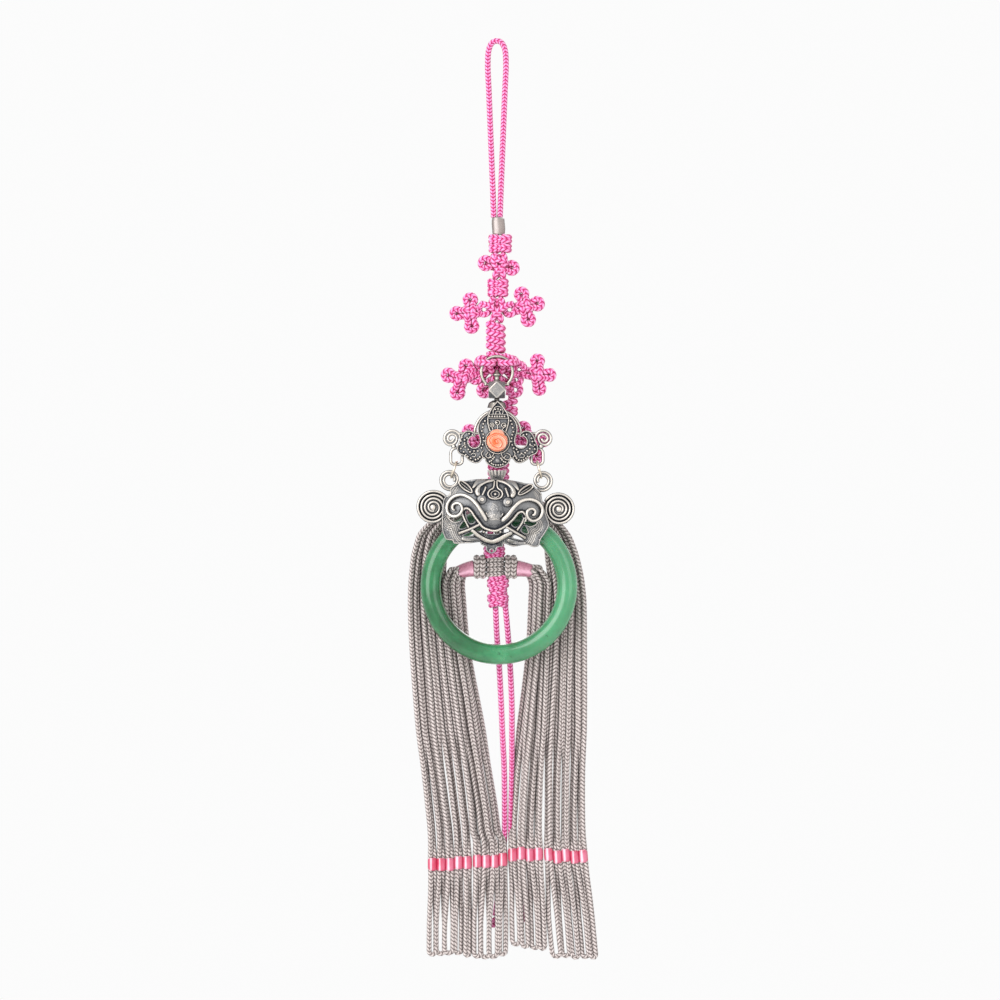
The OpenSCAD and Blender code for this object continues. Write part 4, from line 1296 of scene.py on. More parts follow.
@dataclass
class Bundle:
    """The pairs of cord that hang from one side of a tassel's head, in millimetres."""

    # bottoms has the lower end of each pair, from the outermost in
    side: Side
    spreads: Sequence[Spread]
    head: Point
    bottoms: Sequence[float]
    binding_top: float
    top: float = -175.8
    length: float = 175.0
    half: float = 34.0
    strand: float = 0.98
    open_below: float = -266.0
    binding_height: float = 4.9
    tucked: bool = False

    def pair_line(self, k: int) -> list[Point]:
        """Middle of one pair from the head to the loop's end.

        Args:
            k: number of the pair, 0 is the outermost.

        Returns:
            Places in millimetres.
        """
        s = self.side.value
        rows = [
            (s * self.half * (outermost - step * k), 0.0, self.top - self.length * down)
            for down, outermost, step in self.spreads
        ]
        end, last = self.bottoms[k], rows[-1]
        rows = [r for r in rows if r[2] > end + 6]
        before = rows[-1]
        t = (before[2] - end) / max(before[2] - last[2], 1.0)
        return rows + [(before[0] + (last[0] - before[0]) * min(t, 1.0), 0.0, end)]

    def pitch_at(self, z: Union[float, Array]) -> Union[float, Array]:
        """Distance between pairs at some levels, in millimetres."""
        downs, _, steps = zip(*self.spreads)
        return np.interp((self.top - z) / self.length, downs, steps) * self.half

    def add_to(self, cords: CordMesh, threads: CordMesh, seed: int) -> None:
        """Adds all pairs and their bindings.

        Args:
            cords: mesh for the cords.
            threads: mesh for the bindings.
            seed: start of the small irregularities.
        """
        rng = np.random.default_rng(seed)
        for k in range(len(self.bottoms)):
            line = smooth_route(self.pair_line(k), 2.0)
            binding = self.binding_top + rng.uniform(-0.6, 0.6)
            sway, open_by = rng.uniform(-0.3, 0.3), rng.uniform(-0.35, 0.75)
            legs = self._legs(k, line[:-1], binding, sway, open_by)
            start = self._from_head(k, legs)
            (left, deep_left, _), (right, deep_right, _) = legs[0][-1], legs[1][-1]
            bend, centre, deep = abs(right - left) / 2, (left + right) / 2, (deep_left + deep_right) / 2
            level = self.bottoms[k] + bend + self.strand
            down, up = (leg[leg[:, 2] > level + 1.5] for leg in legs)
            turn = [
                (centre + bend * math.cos(a), deep, level + bend * math.sin(a))
                for a in np.linspace(math.pi, 2 * math.pi, 9)
            ]
            route = np.vstack([start[0], down, turn, up[::-1], start[1][::-1]])
            cords.run(smooth_route(route, 0.9), self.strand, grain=2.35)
            self._bind(threads, line, binding)

    def _legs(self, k: int, line: Array, binding: float, sway: float, open_by: float) -> list[Array]:
        """Runs both cords of a pair down beside its middle.

        Args:
            k: number of the pair.
            line: the pair's middle.
            binding: height of the binding's upper edge.
            sway: how far the pair drifts to the side.
            open_by: how much wider it opens below the binding.

        Returns:
            The places of the two cords.
        """
        # below is 1 under the binding and near is 1 at it; crowd is above 0 where pairs would overlap;
        # stack brings one leg before the other, so that the background shows between the pairs
        x, _, z = line.T
        below = np.clip((binding - 6 - z) / 20, 0, 1)
        near = np.exp(-(((z - binding + 2.4) / 6.0) ** 2))
        free = 1 - near
        crowd = np.maximum(0, 1 - self.pitch_at(z) / (self.strand * 3.8))
        stack = np.clip((self.open_below - z) / 14, 0, 1) * free * (1 - below)
        spread = self.strand * (0.98 - 0.3 * crowd - 0.4 * stack) + open_by * below - 0.06 * near
        drift = sway * (np.sin(z / 11.0 + k) - math.sin(binding / 11.0 + k)) * free
        depth = (0.35 + 1.9 * crowd) * free * (1 - 0.5 * below) * (1 if k % 2 else -1)
        if self.tucked and k == len(self.bottoms) - 1:
            depth += 2.2 * (1 - below) * free
        lift = self.side.value * (0.25 + 0.8 * crowd + 0.8 * stack) * free
        return [np.stack([x + leg * spread + drift, depth - leg * lift, z], 1) for leg in (-1, 1)]

    def _from_head(self, k: int, legs: list[Array]) -> list[list[Point]]:
        """The hidden start of each leg at the head.

        Args:
            k: number of the pair.
            legs: the legs' places.

        Returns:
            Places that lead from the head to each leg.
        """
        s = self.side.value
        hx, hy, hz = self.head
        out = []
        for j, leg in enumerate(legs):
            first = leg[0]
            drop = (k - (len(self.bottoms) - 1) / 2) * 1.15
            depth = hy + (-1.2 if (k + j) % 2 == 0 else 1.2)
            middle = ((hx + first[0]) / 2, depth * 0.9, hz - drop - 0.3)
            out.append([(hx, depth, hz - drop * 0.9), (middle[0] + s * 1.2, middle[1], middle[2])])
        return out

    def _bind(self, threads: CordMesh, line: Array, top: float) -> None:
        """Winds thread round one pair.

        Args:
            threads: mesh for the bindings.
            line: the pair's middle.
            top: upper edge of the binding.
        """
        levels = np.linspace(top, top - self.binding_height, 11)
        xs = np.interp(-levels, -line[:, 2], line[:, 0])
        wide = self.pitch_at(top) * 0.5 + 0.2
        radii = wide * np.array([0.8, 0.94, 0.99, 1, 0.99, 1, 1, 0.99, 1, 0.95, 0.82])
        threads.run(np.array([(x, 0, z) for x, z in zip(xs, levels)]), radii, deep=0.95, grain=2.2)
        x, z = float(xs[0]), top - 0.9
        threads.run(
            smooth_route(
                [(x, -wide * 0.8, z), (x + 0.3, -wide - 0.3, z + 0.7), (x + 0.9, -wide - 0.2, z + 1.3)], 0.4
            ),
            0.09,
            grain=0.4,
        )


@dataclass
class Tassel:
    """A barrel of wound cord with pairs of cord from both sides."""

    node: str
    palette: Palette
    centre: Point
    width: float = 16.8
    height: float = 9.6
    wrap_reach: Flat = (15.0, 15.0)
    wrap_drop: Flat = (1.8, 1.2)

    def build(self, bundles: Sequence[Bundle]) -> None:
        """Builds the barrel, its wraps, the pairs and their bindings.

        Args:
            bundles: the two sides.
        """
        cords, threads, wraps = CordMesh(8), CordMesh(14), CordMesh(16)
        self._barrel(cords)
        for side, reach, drop in zip(Side, self.wrap_reach, self.wrap_drop):
            self._wrap(wraps, side, reach, drop)
        for k, bundle in enumerate(bundles):
            bundle.add_to(cords, threads, 11 + 7 * k)
        settle(cords.build(self.node + "_cords", self.palette.grey), Body.KNOTWORK, self.node)
        settle(threads.build(self.node + "_bindings", self.palette.rose_thread), Body.KNOTWORK)
        settle(wraps.build(self.node + "_wraps", self.palette.pale_thread), Body.KNOTWORK)

    def _barrel(self, cords: CordMesh) -> None:
        """Standing turns at both ends and lying turns between them.

        Args:
            cords: mesh for the cords.
        """
        x, y, z = self.centre
        r = 1.3
        for s in (-1, 1):
            for k in range(2):
                cx = x + s * (self.width / 2 - r - 2.2 * k)
                turn = [
                    (
                        cx + 0.12 * math.sin(3 * a),
                        y + 2.0 * math.cos(a),
                        z + (self.height / 2 - r) * math.copysign(abs(math.sin(a)) ** 0.8, math.sin(a)),
                    )
                    for a in full_turn(22)
                ]
                cords.run(smooth_route(turn, 0.8, True), r, True, grain=2.2)
        for k in range(4):
            level = z + (1.5 - k) * 1.9
            cords.run(
                smooth_route(around((x, y), self.width / 2 - 5.4, 1.9, level, 0.25), 0.8, True),
                1.0,
                True,
                grain=2.2,
            )

    def _wrap(self, wraps: CordMesh, side: Side, reach: float, drop: float) -> None:
        """Pale thread over the cords that leave the barrel.

        Args:
            wraps: mesh for the thread.
            side: the side.
            reach: distance of the wrap's end from the middle.
            drop: how far its end lies below its start.
        """
        x, y, z = self.centre
        start = self.width / 2 - 0.4
        t = np.linspace(0, 1, 18)
        route = np.stack(
            [x + side.value * (start + (reach - start) * t), np.full_like(t, y), z - 0.6 - drop * t**1.5], 1
        )
        radii = 3.25 - 0.85 * t
        radii[0] *= 0.7
        radii[-1] *= 0.75
        wraps.run(route, radii, deep=0.85, grain=2.4)


# Relief plates


@dataclass(frozen=True)
class CloseUp:
    """Reads places off the photo's close-up: one plate's middle and the size of a pixel there."""

    middle: Flat
    pixel: float

    def at(self, place: Flat) -> Flat:
        """Turns the close-up's x and y into millimetres from the plate's middle."""
        return ((place[0] - self.middle[0]) * self.pixel, (self.middle[1] - place[1]) * self.pixel)

    def line(self, places: Sequence[Flat]) -> Array:
        """Several places at once."""
        return np.array([self.at(p) for p in places])


def nearest(x: Array, z: Array, line: Array, closed: bool = False) -> tuple[Array, Array, Array]:
    """Distance from many places to a line.

    Args:
        x: places.
        z: places.
        line: points of the line.
        closed: whether the line returns to its start.

    Returns:
        Distance, length gone along the line, and the nearest places.
    """
    ends = np.vstack([line, line[:1]]) if closed else line
    best = np.full(x.shape, 1e9)
    gone = np.zeros(x.shape)
    close = np.zeros(x.shape + (2,))
    done = 0.0
    for (ax, az), (bx, bz) in zip(ends[:-1], ends[1:]):
        length = math.hypot(bx - ax, bz - az)
        if length < 1e-9:
            continue
        t = np.clip(((x - ax) * (bx - ax) + (z - az) * (bz - az)) / length**2, 0, 1)
        px, pz = ax + t * (bx - ax), az + t * (bz - az)
        d = np.hypot(x - px, z - pz)
        nearer = d < best
        best = np.where(nearer, d, best)
        gone = np.where(nearer, done + t * length, gone)
        close[nearer] = np.stack([px, pz], -1)[nearer]
        done += length
    return best, gone, close


def inside(x: Array, z: Array, ring: Array) -> Array:
    """Tells which places lie inside a closed line.

    Args:
        x: places.
        z: places.
        ring: the line's points, one in a row.

    Returns:
        True for the places inside.
    """
    hit = np.zeros(x.shape, bool)
    for (ax, az), (bx, bz) in zip(ring, np.roll(ring, -1, 0)):
        if az != bz:
            hit ^= ((az > z) != (bz > z)) & (x < (bx - ax) * (z - az) / (bz - az) + ax)
    return hit


@dataclass
class Ridge:
    """A raised line: width and height in millimetres; rib is the pitch of its twist, or 0."""

    line: Array
    width: float
    height: float
    rib: float = 0.0
    closed: bool = False
    end_width: Optional[float] = None
    soft: bool = False

    def box(self) -> Array:
        """Lowest and highest x and z that it can touch."""
        reach = max(self.width, self.end_width or 0) / 2 + 0.3
        return np.array([self.line.min(0) - reach, self.line.max(0) + reach])

    def raise_on(self, x: Array, z: Array) -> tuple[Array, Array]:
        """Its height and twist at many places.

        Args:
            x: places.
            z: places.

        Returns:
            Heights in millimetres, and turns of the twist that lie before each place.
        """
        line = smooth_route(self.line, 0.3, self.closed) if len(self.line) > 2 else self.line
        d, gone, _ = nearest(x, z, line, self.closed)
        half = self.width / 2
        if self.end_width is not None:
            total = np.linalg.norm(np.diff(line, axis=0), axis=1).sum()
            half = half + (self.end_width - self.width) / 2 * gone / total
        t = np.clip(d / half, 0, 1)
        h = self.height * ((1 - t * t) ** 1.6 if self.soft else np.sqrt(1 - t * t))
        return h, (gone / self.rib + t * 0.25 if self.rib else np.zeros_like(h))


@dataclass
class Knob:
    """A raised grain, boss or small cone."""

    x: float
    z: float
    radius: float
    height: float
    dimple: float = 0.0
    tall: float = 1.0
    soft: bool = False

    def box(self) -> Array:
        """Lowest and highest x and z that it can touch."""
        reach = np.array([self.radius, self.radius * self.tall])
        return np.array([(self.x, self.z) - reach, (self.x, self.z) + reach])

    def raise_on(self, x: Array, z: Array) -> tuple[Array, Array]:
        """Its height at many places.

        Args:
            x: places.
            z: places.

        Returns:
            Heights in millimetres, and no twist.
        """
        d = np.hypot(x - self.x, (z - self.z) / self.tall)
        t = np.clip(d / self.radius, 0, 1)
        h = self.height * ((1 - t * t) ** 1.5 if self.soft else np.sqrt(1 - t * t))
        if self.dimple:
            h -= self.dimple * np.exp(-((d / (self.radius * 0.3)) ** 2))
        return h, np.zeros_like(h)


@dataclass
class Groove:
    """Engraved lines that run beside each other; count 0 is one line."""

    line: Array
    width: float
    depth: float
    closed: bool = False
    count: int = 0
    shine: float = 0.0

    def box(self) -> Array:
        """Lowest and highest x and z that it can touch."""
        reach = self.width * (self.count + 1.5)
        return np.array([self.line.min(0) - reach, self.line.max(0) + reach])

    def sink_on(self, x: Array, z: Array) -> tuple[Array, Array]:
        """Its depth and polish at many places.

        Args:
            x: places.
            z: places.

        Returns:
            Depths in millimetres, and how much brighter each place is.
        """
        line = smooth_route(self.line, 0.4, self.closed) if len(self.line) > 2 else self.line
        d, _, _ = nearest(x, z, line, self.closed)
        if not self.count:
            return self.depth * np.exp(-((d / (self.width / 2)) ** 2)), np.zeros_like(d)
        waves = np.clip(np.cos(2 * math.pi * d / self.width) - 0.1, 0, 1) ** 1.3
        depth = np.where(d < self.count * self.width, self.depth * waves, 0)
        return depth, self.shine * np.clip((self.count + 0.5) - d / self.width, 0, 1)


@dataclass
class Worked:
    """What a plate's raised work gives at many places."""

    height: Array
    twist: Array
    ribbed: Array
    shine: Array


def circle_line(x: float, z: float, radius: float, flat: float = 1.0) -> Array:
    """Points of a circle or an oval."""
    return np.array([(x + radius * math.cos(a), z + flat * radius * math.sin(a)) for a in full_turn(16)])


class ReliefPlate:
    """A thin silver plate with an outline, openings and raised work."""

    def __init__(
        self, view: CloseUp, outline: Array, openings: Sequence[Array], cell: float, rim: Point
    ) -> None:
        """Prepares a plate.

        Args:
            view: reads places off the close-up.
            outline: closed line in millimetres from the plate's middle.
            openings: closed lines that are cut out.
            cell: grid size in millimetres.
            rim: width, height and twist pitch of the wire round all edges.
        """
        self.view = view
        self.outline = smooth_route(outline, 0.3, True)
        self.openings = [smooth_route(o, 0.25, True) for o in openings]
        self.cell = cell
        self.rim = rim
        self.raised: list[Union[Ridge, Knob]] = []
        self.grains: list[Knob] = []
        self.sunk: list[Groove] = []

    def knobs(self, places: Iterable[Flat], radius: float, height: float) -> None:
        """Raises a knob at each of some places in the close-up."""
        self.raised += [Knob(*self.view.at(place), radius, height) for place in places]

    def wires(self, lines: Iterable[Sequence[Flat]], width: float, height: float, **more: float) -> None:
        """Raises a ridge on each of some lines in the close-up."""
        self.raised += [Ridge(self.view.line(line), width, height, **more) for line in lines]

    def engrave(self, lines: Iterable[Sequence[Flat]], width: float, depth: float, **more: float) -> None:
        """Cuts a groove on each of some lines in the close-up."""
        self.sunk += [Groove(self.view.line(line), width, depth, **more) for line in lines]

    def level(self, x: Array, z: Array) -> Worked:
        """Raised work above the bare plate.

        Args:
            x: places.
            z: places.

        Returns:
            Heights in millimetres, twist, share of twist and polish.
        """
        w = Worked(*(np.zeros(x.shape) for _ in range(4)))
        for feature in self.raised:
            near = self._near(feature.box(), x, z)
            h, turns = feature.raise_on(x[near], z[near])
            self._top(w, near, h, turns, bool(getattr(feature, "rib", 0)))
        width, height, rib = self.rim
        for edge in [self.outline] + self.openings:
            near = self._near(np.array([edge.min(0) - width, edge.max(0) + width]), x, z)
            d, gone, _ = nearest(x[near], z[near], edge, True)
            t = np.clip(np.abs(d - width * 0.4) / (width * 0.55), 0, 1)
            self._top(w, near, height * np.sqrt(1 - t * t), gone / rib + t * 0.25 if rib else t, bool(rib))
        for grain in self.grains:
            near = self._near(grain.box(), x, z)
            w.height[near] += grain.raise_on(x[near], z[near])[0]
        for groove in self.sunk:
            near = self._near(groove.box(), x, z)
            depth, shine = groove.sink_on(x[near], z[near])
            if groove.count:
                flat = np.clip(1 - w.height[near] / 0.35, 0, 1)
                depth, shine = depth * flat, shine * flat
            w.height[near] -= depth
            w.shine[near] = np.maximum(w.shine[near], shine)
        return w

    @staticmethod
    def _top(w: Worked, near: Array, h: Array, turns: Array, ribbed: bool) -> None:
        """Lets a feature win where it is the highest.

        Args:
            w: what lies there so far.
            near: numbers of the places.
            h: the feature's heights.
            turns: its twist.
            ribbed: whether it is twisted.
        """
        won = h > w.height[near]
        at = near[won]
        w.height[at], w.twist[at], w.ribbed[at] = h[won], turns[won], float(ribbed)

    @staticmethod
    def _near(box: Array, x: Array, z: Array) -> Array:
        """Numbers of the places inside a box."""
        return np.flatnonzero((x > box[0, 0]) & (x < box[1, 0]) & (z > box[0, 1]) & (z < box[1, 1]))

    def _worn(self, h: Array, columns: int) -> Array:
        """How far each place stands out from what is round it.

        Args:
            h: heights of the whole grid.
            columns: points in a row of the grid.

        Returns:
            About 0 in a crevice, a third on a flat and 1 on a crest.
        """
        grid = h.reshape(-1, columns)
        worn = np.full(grid.shape, 0.36)
        for reach, gain in ((0.32, 1.9), (1.1, 0.6)):
            cells = int(reach * 2.5 / self.cell)
            weights = np.exp(-0.5 * (np.arange(-cells, cells + 1) * self.cell / reach) ** 2)
            weights /= weights.sum()
            soft = grid
            for axis in (0, 1):
                soft = sum(w * np.roll(soft, k, axis) for w, k in zip(weights, range(-cells, cells + 1)))
            worn = worn + gain * (grid - soft)
        return worn.ravel()

    def build(self, name: str, base: "Surface", material: Material, thickness: float) -> Object:
        """Builds the plate.

        Args:
            name: the object's name.
            base: gives the bare plate's front and its place.
            material: its finish.
            thickness: of the sheet in millimetres.

        Returns:
            The object.
        """
        low, high = self.outline.min(0) - self.cell, self.outline.max(0) + self.cell
        nx, nz = (int((high[i] - low[i]) / self.cell) + 1 for i in (0, 1))
        made = primitive(name, bpy.ops.mesh.primitive_grid_add, x_subdivisions=nx, y_subdivisions=nz, size=1)
        mesh = made.data
        flat = points_of(mesh)
        columns = int(np.argmax(flat[:, 1] != flat[0, 1]))
        x = (low[0] + high[0]) / 2 + flat[:, 0] * (high[0] - low[0])
        z = (low[1] + high[1]) / 2 + flat[:, 1] * (high[1] - low[1])
        first = self.level(x, z)
        worn = self._worn(first.height, columns)
        keep = inside(x, z, self.outline)
        for o in self.openings:
            keep &= ~inside(x, z, o)
        x, z, worn = self._trim(mesh, keep, np.stack([x, z, worn]))
        work = self.level(x, z)
        spots = base.place(x, z, work.height)
        mesh.vertices.foreach_set("co", (spots * MM).ravel())
        mesh.materials.append(material)
        turn_outwards(made)
        if sum(p.normal.y * p.area for p in mesh.polygons) > 0:
            mesh.flip_normals()
        wall = made.modifiers.new("Wall", "SOLIDIFY")
        wall.thickness, wall.offset = thickness * MM, -1
        pick(made)
        bpy.ops.object.modifier_apply(modifier=wall.name)
        # the front's points come first, the back's after them, and the back takes no relief
        spots = np.vstack([spots, base.place(x, z, -thickness)])
        mesh.vertices.foreach_set("co", (spots * MM).ravel())
        shown = np.clip(worn + work.shine, -0.3, 1.3)
        for kind, values, plain in (
            ("relief", shown, 0.42), ("twist", work.twist, 0), ("ribbed", work.ribbed, 0)
        ):
            both = np.concatenate([values, np.full(len(values), plain)])
            mesh.attributes.new(kind, "FLOAT", "POINT").data.foreach_set("value", both)
        mesh.update()
        mesh.shade_smooth()
        return made

    def _trim(self, mesh: bpy.types.Mesh, keep: Array, rows: Array) -> Array:
        """Cuts the grid to the outline and pulls its edge onto it.

        Args:
            mesh: the grid.
            keep: points inside.
            rows: x, z and one more value of all points.

        Returns:
            The same rows for the points that stay.
        """
        work = bmesh.new()
        work.from_mesh(mesh)
        work.verts.ensure_lookup_table()
        mark = work.verts.layers.int.new("was")
        for i, v in enumerate(work.verts):
            v[mark] = i
        drop = [f for f in work.faces if sum(bool(keep[v.index]) for v in f.verts) < 2]
        bmesh.ops.delete(work, geom=drop, context="FACES")
        bmesh.ops.delete(work, geom=[v for v in work.verts if not v.link_faces], context="VERTS")
        work.verts.ensure_lookup_table()
        was = np.array([v[mark] for v in work.verts])
        edge = np.array([v.is_boundary for v in work.verts])
        work.verts.layers.int.remove(mark)
        work.to_mesh(mesh)
        work.free()
        rows = rows[:, was]
        x, z = rows[:2, edge]
        best = np.full(edge.sum(), 1e9)
        spot = np.zeros((edge.sum(), 2))
        for ring in [self.outline] + self.openings:
            d, _, close = nearest(x, z, ring, True)
            nearer = d < best
            best = np.where(nearer, d, best)
            spot[nearer] = close[nearer]
        pull = best < self.cell * 1.6
        rows[:2, np.flatnonzero(edge)[pull]] = spot[pull].T
        return rows


@dataclass
class Surface:
    """The bare front of a plate, its middle with y at the back rim, and the degrees it hangs turned."""

    centre: Point
    turn: float

    def front(self, x: Array, z: Array) -> Array:
        """How far the bare front lies before the back rim."""
        raise NotImplementedError

    def place(self, x: Array, z: Array, lift: Union[Array, float]) -> Array:
        """Places on the hung plate.

        Args:
            x: from the middle.
            z: from the middle.
            lift: height above the bare front.

        Returns:
            Places in the part's frame, in millimetres.
        """
        c, s = math.cos(math.radians(self.turn)), math.sin(math.radians(self.turn))
        y = self.centre[1] - self.front(x, z) - lift
        return np.stack([self.centre[0] + x * c + z * s, y, self.centre[2] - x * s + z * c], -1)


@dataclass
class BallSurface(Surface):
    """Part of a large ball that meets the rim's plane at a reach from the middle."""

    reach: float
    rise: float

    def front(self, x: Array, z: Array) -> Array:
        """How far the bare front lies before the back rim."""
        ball = (self.reach**2 + self.rise**2) / (2 * self.rise)
        return self.rise - ball + np.sqrt(np.maximum(ball**2 - x * x - z * z, 1.0))


@dataclass
class MaskSurface(Surface):
    """A pillow-shaped mask on a flat rim."""

    half_width: float
    half_height: float
    rise: float

    # depth of the flat rim in millimetres, and how sharply the dome leaves it
    RIM = 1.2
    SHARPNESS = 2.2

    def front(self, x: Array, z: Array) -> Array:
        """How far the bare front lies before the back rim.

        Args:
            x: places.
            z: places.

        Returns:
            Distances in millimetres.
        """
        k = 1 - (x / self.half_width) ** 2 - (z / self.half_height) ** 2
        dome = self.rise * np.sqrt(np.maximum(k, 0.0))
        sharp = self.SHARPNESS
        return np.log(np.exp(self.RIM * sharp) + np.exp(dome * sharp)) / sharp


@dataclass
class UpperPlate:
    """The winged plate with the coral rose."""

    palette: Palette
    width: float = 31.2
    rise: float = 3.4
    granule: float = 0.45

    # height of the rose's middle as a share of the plate's
    ROSE_LEVEL = 0.395 / 0.995
    # places are the close-up's pixels
    VIEW = CloseUp((353.6, 214.6), 0.1102)
    # half of the outline in millimetres from the rose's middle, from the tip down
    HALF_OUTLINE = (
        (0, 15.7), (1.7, 13.9), (3.0, 12.0), (4.0, 10.7), (5.6, 9.4), (7.0, 7.6), (7.6, 5.6), (7.5, 3.6),
        (7.1, 2.2), (6.75, 0.8), (6.8, -0.7), (7.5, -1.8), (8.9, -2.3), (10.2, -1.9), (11.0, -0.8),
        (11.1, 0.4), (10.5, 1.5), (9.6, 1.95), (8.8, 1.8), (8.4, 2.4), (9.0, 3.5), (10.7, 4.25),
        (12.5, 3.9), (13.8, 2.3), (14.6, 0.3), (15.3, -1.4), (15.5, -3.0), (14.8, -4.5), (12.6, -5.6),
        (11.4, -6.9), (10.2, -7.7), (8.6, -8.25), (6.9, -7.9), (5.6, -6.5), (4.9, -6.6), (4.6, -7.6),
        (3.6, -8.8), (2.0, -9.7), (0, -10.05),
    )
    PANEL_GRANULES = (
        (309.7, 142.5), (304, 153), (302, 165), (299, 178), (304, 189), (304, 201), (307, 212), (302, 225),
        (298, 236), (399, 142.5), (403, 154), (406, 166), (408, 180), (404, 191), (402, 203), (400, 214),
        (404, 226), (409, 237),
    )
    WING_GRANULES = (
        (254.7, 187), (267, 190), (248, 202), (239, 208), (239, 219.5), (241.5, 233), (252, 241.5),
        (258, 250), (272, 247), (285.5, 247), (229, 199), (226, 212), (222, 224), (226, 238), (236, 250),
        (250, 266), (260.5, 272), (277, 277), (286, 274), (292, 268), (268, 283), (243, 260), (443, 191),
        (454, 189), (471, 203), (474, 214), (466, 224), (465, 239), (456, 246), (449, 253), (436, 255),
        (424, 250), (419, 241.5), (416, 265), (419, 272), (426.5, 278), (436, 280), (444, 277), (452, 272),
        (458, 266), (482, 226), (482, 240), (474, 251), (484, 212),
    )
    BAND_GRANULES = (
        (326, 127), (334.8, 127), (343.5, 127), (352, 127), (360.5, 127), (369, 127), (377.5, 127)
    )
    FOOT_GRANULES = (
        (341.8, 268.8), (337.5, 274.4), (331.9, 280), (325.6, 283.5), (364.6, 272.3), (369.1, 277.9),
        (374.7, 283.5), (381, 286), (332.6, 290.5), (339, 294), (347.4, 295.6), (355.8, 296),
        (364.2, 295.4), (371.9, 293.3),
    )
    ARCH_GRANULES = ((345.3, 102.5), (355.1, 101), (364.2, 103.9))
    FOOT_BOSS = (353, 281)
    ARCHES = (
        ((338.2, 118), (338.2, 108), (343.9, 96.5), (354.4, 92.6), (366.3, 96.5), (372.6, 108), (370.5, 119)),
        ((346.7, 117.5), (348, 111.6), (353.7, 108.8), (360, 110.2), (362.4, 117.5)),
    )
    BANDS = (((323, 120.5), (354, 119.5), (389, 121.5)), ((320, 133.5), (354, 133), (391, 134)))
    CARTOUCHE = (
        ((353.6, 75), (336, 95), (324, 119), (319.5, 137), (321.5, 158), (328, 178)),
        ((353.6, 75), (373, 95), (386, 116), (391.5, 137), (389.5, 156), (382.5, 178)),
    )
    # ring centre, its radius, knob centre, foot of the stem
    STEMMED = (
        ((353, 148.8), 7.6, (350.5, 148.8), (353.8, 172)),
        ((334, 157), 7.0, (334, 157), (337.5, 175)),
        ((374.7, 158), 7.6, (376.5, 159), (368.4, 177)),
    )
    FOOT_WIRES = (
        ((341.8, 250), (338.2, 261), (332, 268), (322, 272)),
        ((364.9, 250.5), (368.4, 263.9), (375, 272), (386, 277)),
        ((320, 252), (313, 262), (319, 271), (329, 266), (326, 258)),
        ((385, 254), (397, 262), (395, 275), (382, 277), (377, 268), (384, 262)),
        ((304, 246), (297, 256), (303, 268), (312, 275)),
        ((409, 247), (414, 256), (408, 268), (399, 280)),
    )
    WING_SCROLLS = (
        ((262, 222), (256, 214), (262, 207), (270, 212), (268, 221)),
        ((262, 259), (270, 254), (278, 259), (274, 267), (266, 266)),
        ((447, 224), (455, 216), (449, 208), (441, 213), (443, 222)),
        ((430, 262), (438, 257), (446, 262), (442, 270), (433, 269)),
        ((230, 232), (236, 226), (243, 226)),
        ((478, 232), (471, 228), (465, 229)),
    )

    def build(self) -> None:
        """Builds the plate and the rose."""
        half = np.array(self.HALF_OUTLINE)
        outline = np.vstack([half, (half * (-1, 1))[-2:0:-1]])
        view = self.VIEW
        plate = ReliefPlate(view, outline, [], cell=0.125, rim=(0.55, 0.55, 0.62))
        plate.knobs(self.PANEL_GRANULES + self.WING_GRANULES, self.granule, 0.66)
        plate.knobs(self.BAND_GRANULES + self.FOOT_GRANULES + self.ARCH_GRANULES, self.granule, 0.66)
        plate.wires(self.ARCHES, 0.38, 0.5)
        plate.wires(self.BANDS, 0.38, 0.45)
        plate.wires(self.CARTOUCHE, 0.6, 0.75, rib=0.62)
        for centre, radius, knob, foot in self.STEMMED:
            plate.raised.append(
                Ridge(circle_line(*view.at(centre), radius * view.pixel), 0.36, 0.5, closed=True)
            )
            plate.knobs([knob], 0.45, 0.7)
            plate.wires([[(centre[0], centre[1] + radius), foot]], 0.36, 0.45)
        plate.wires(self.FOOT_WIRES, 0.46, 0.55, rib=0.6)
        plate.wires(self.WING_SCROLLS, 0.34, 0.42)
        plate.knobs([self.FOOT_BOSS], 0.8, 0.3)
        plate.raised.append(Ridge(circle_line(0, 0, 4.6), 0.5, 0.55, rib=0.7, closed=True))
        low, high = millimetres("upper_plate")
        middle = ((low[0] + high[0]) / 2, high[1], low[2] + self.ROSE_LEVEL * (high[2] - low[2]))
        base = BallSurface(middle, turn=0.0, reach=self.width * 0.52, rise=self.rise)
        made = plate.build("upper_plate_relief", base, self.palette.relief_silver, thickness=0.8)
        settle(made, Body.PENDANT, "upper_plate")
        Rose(self.palette).build()


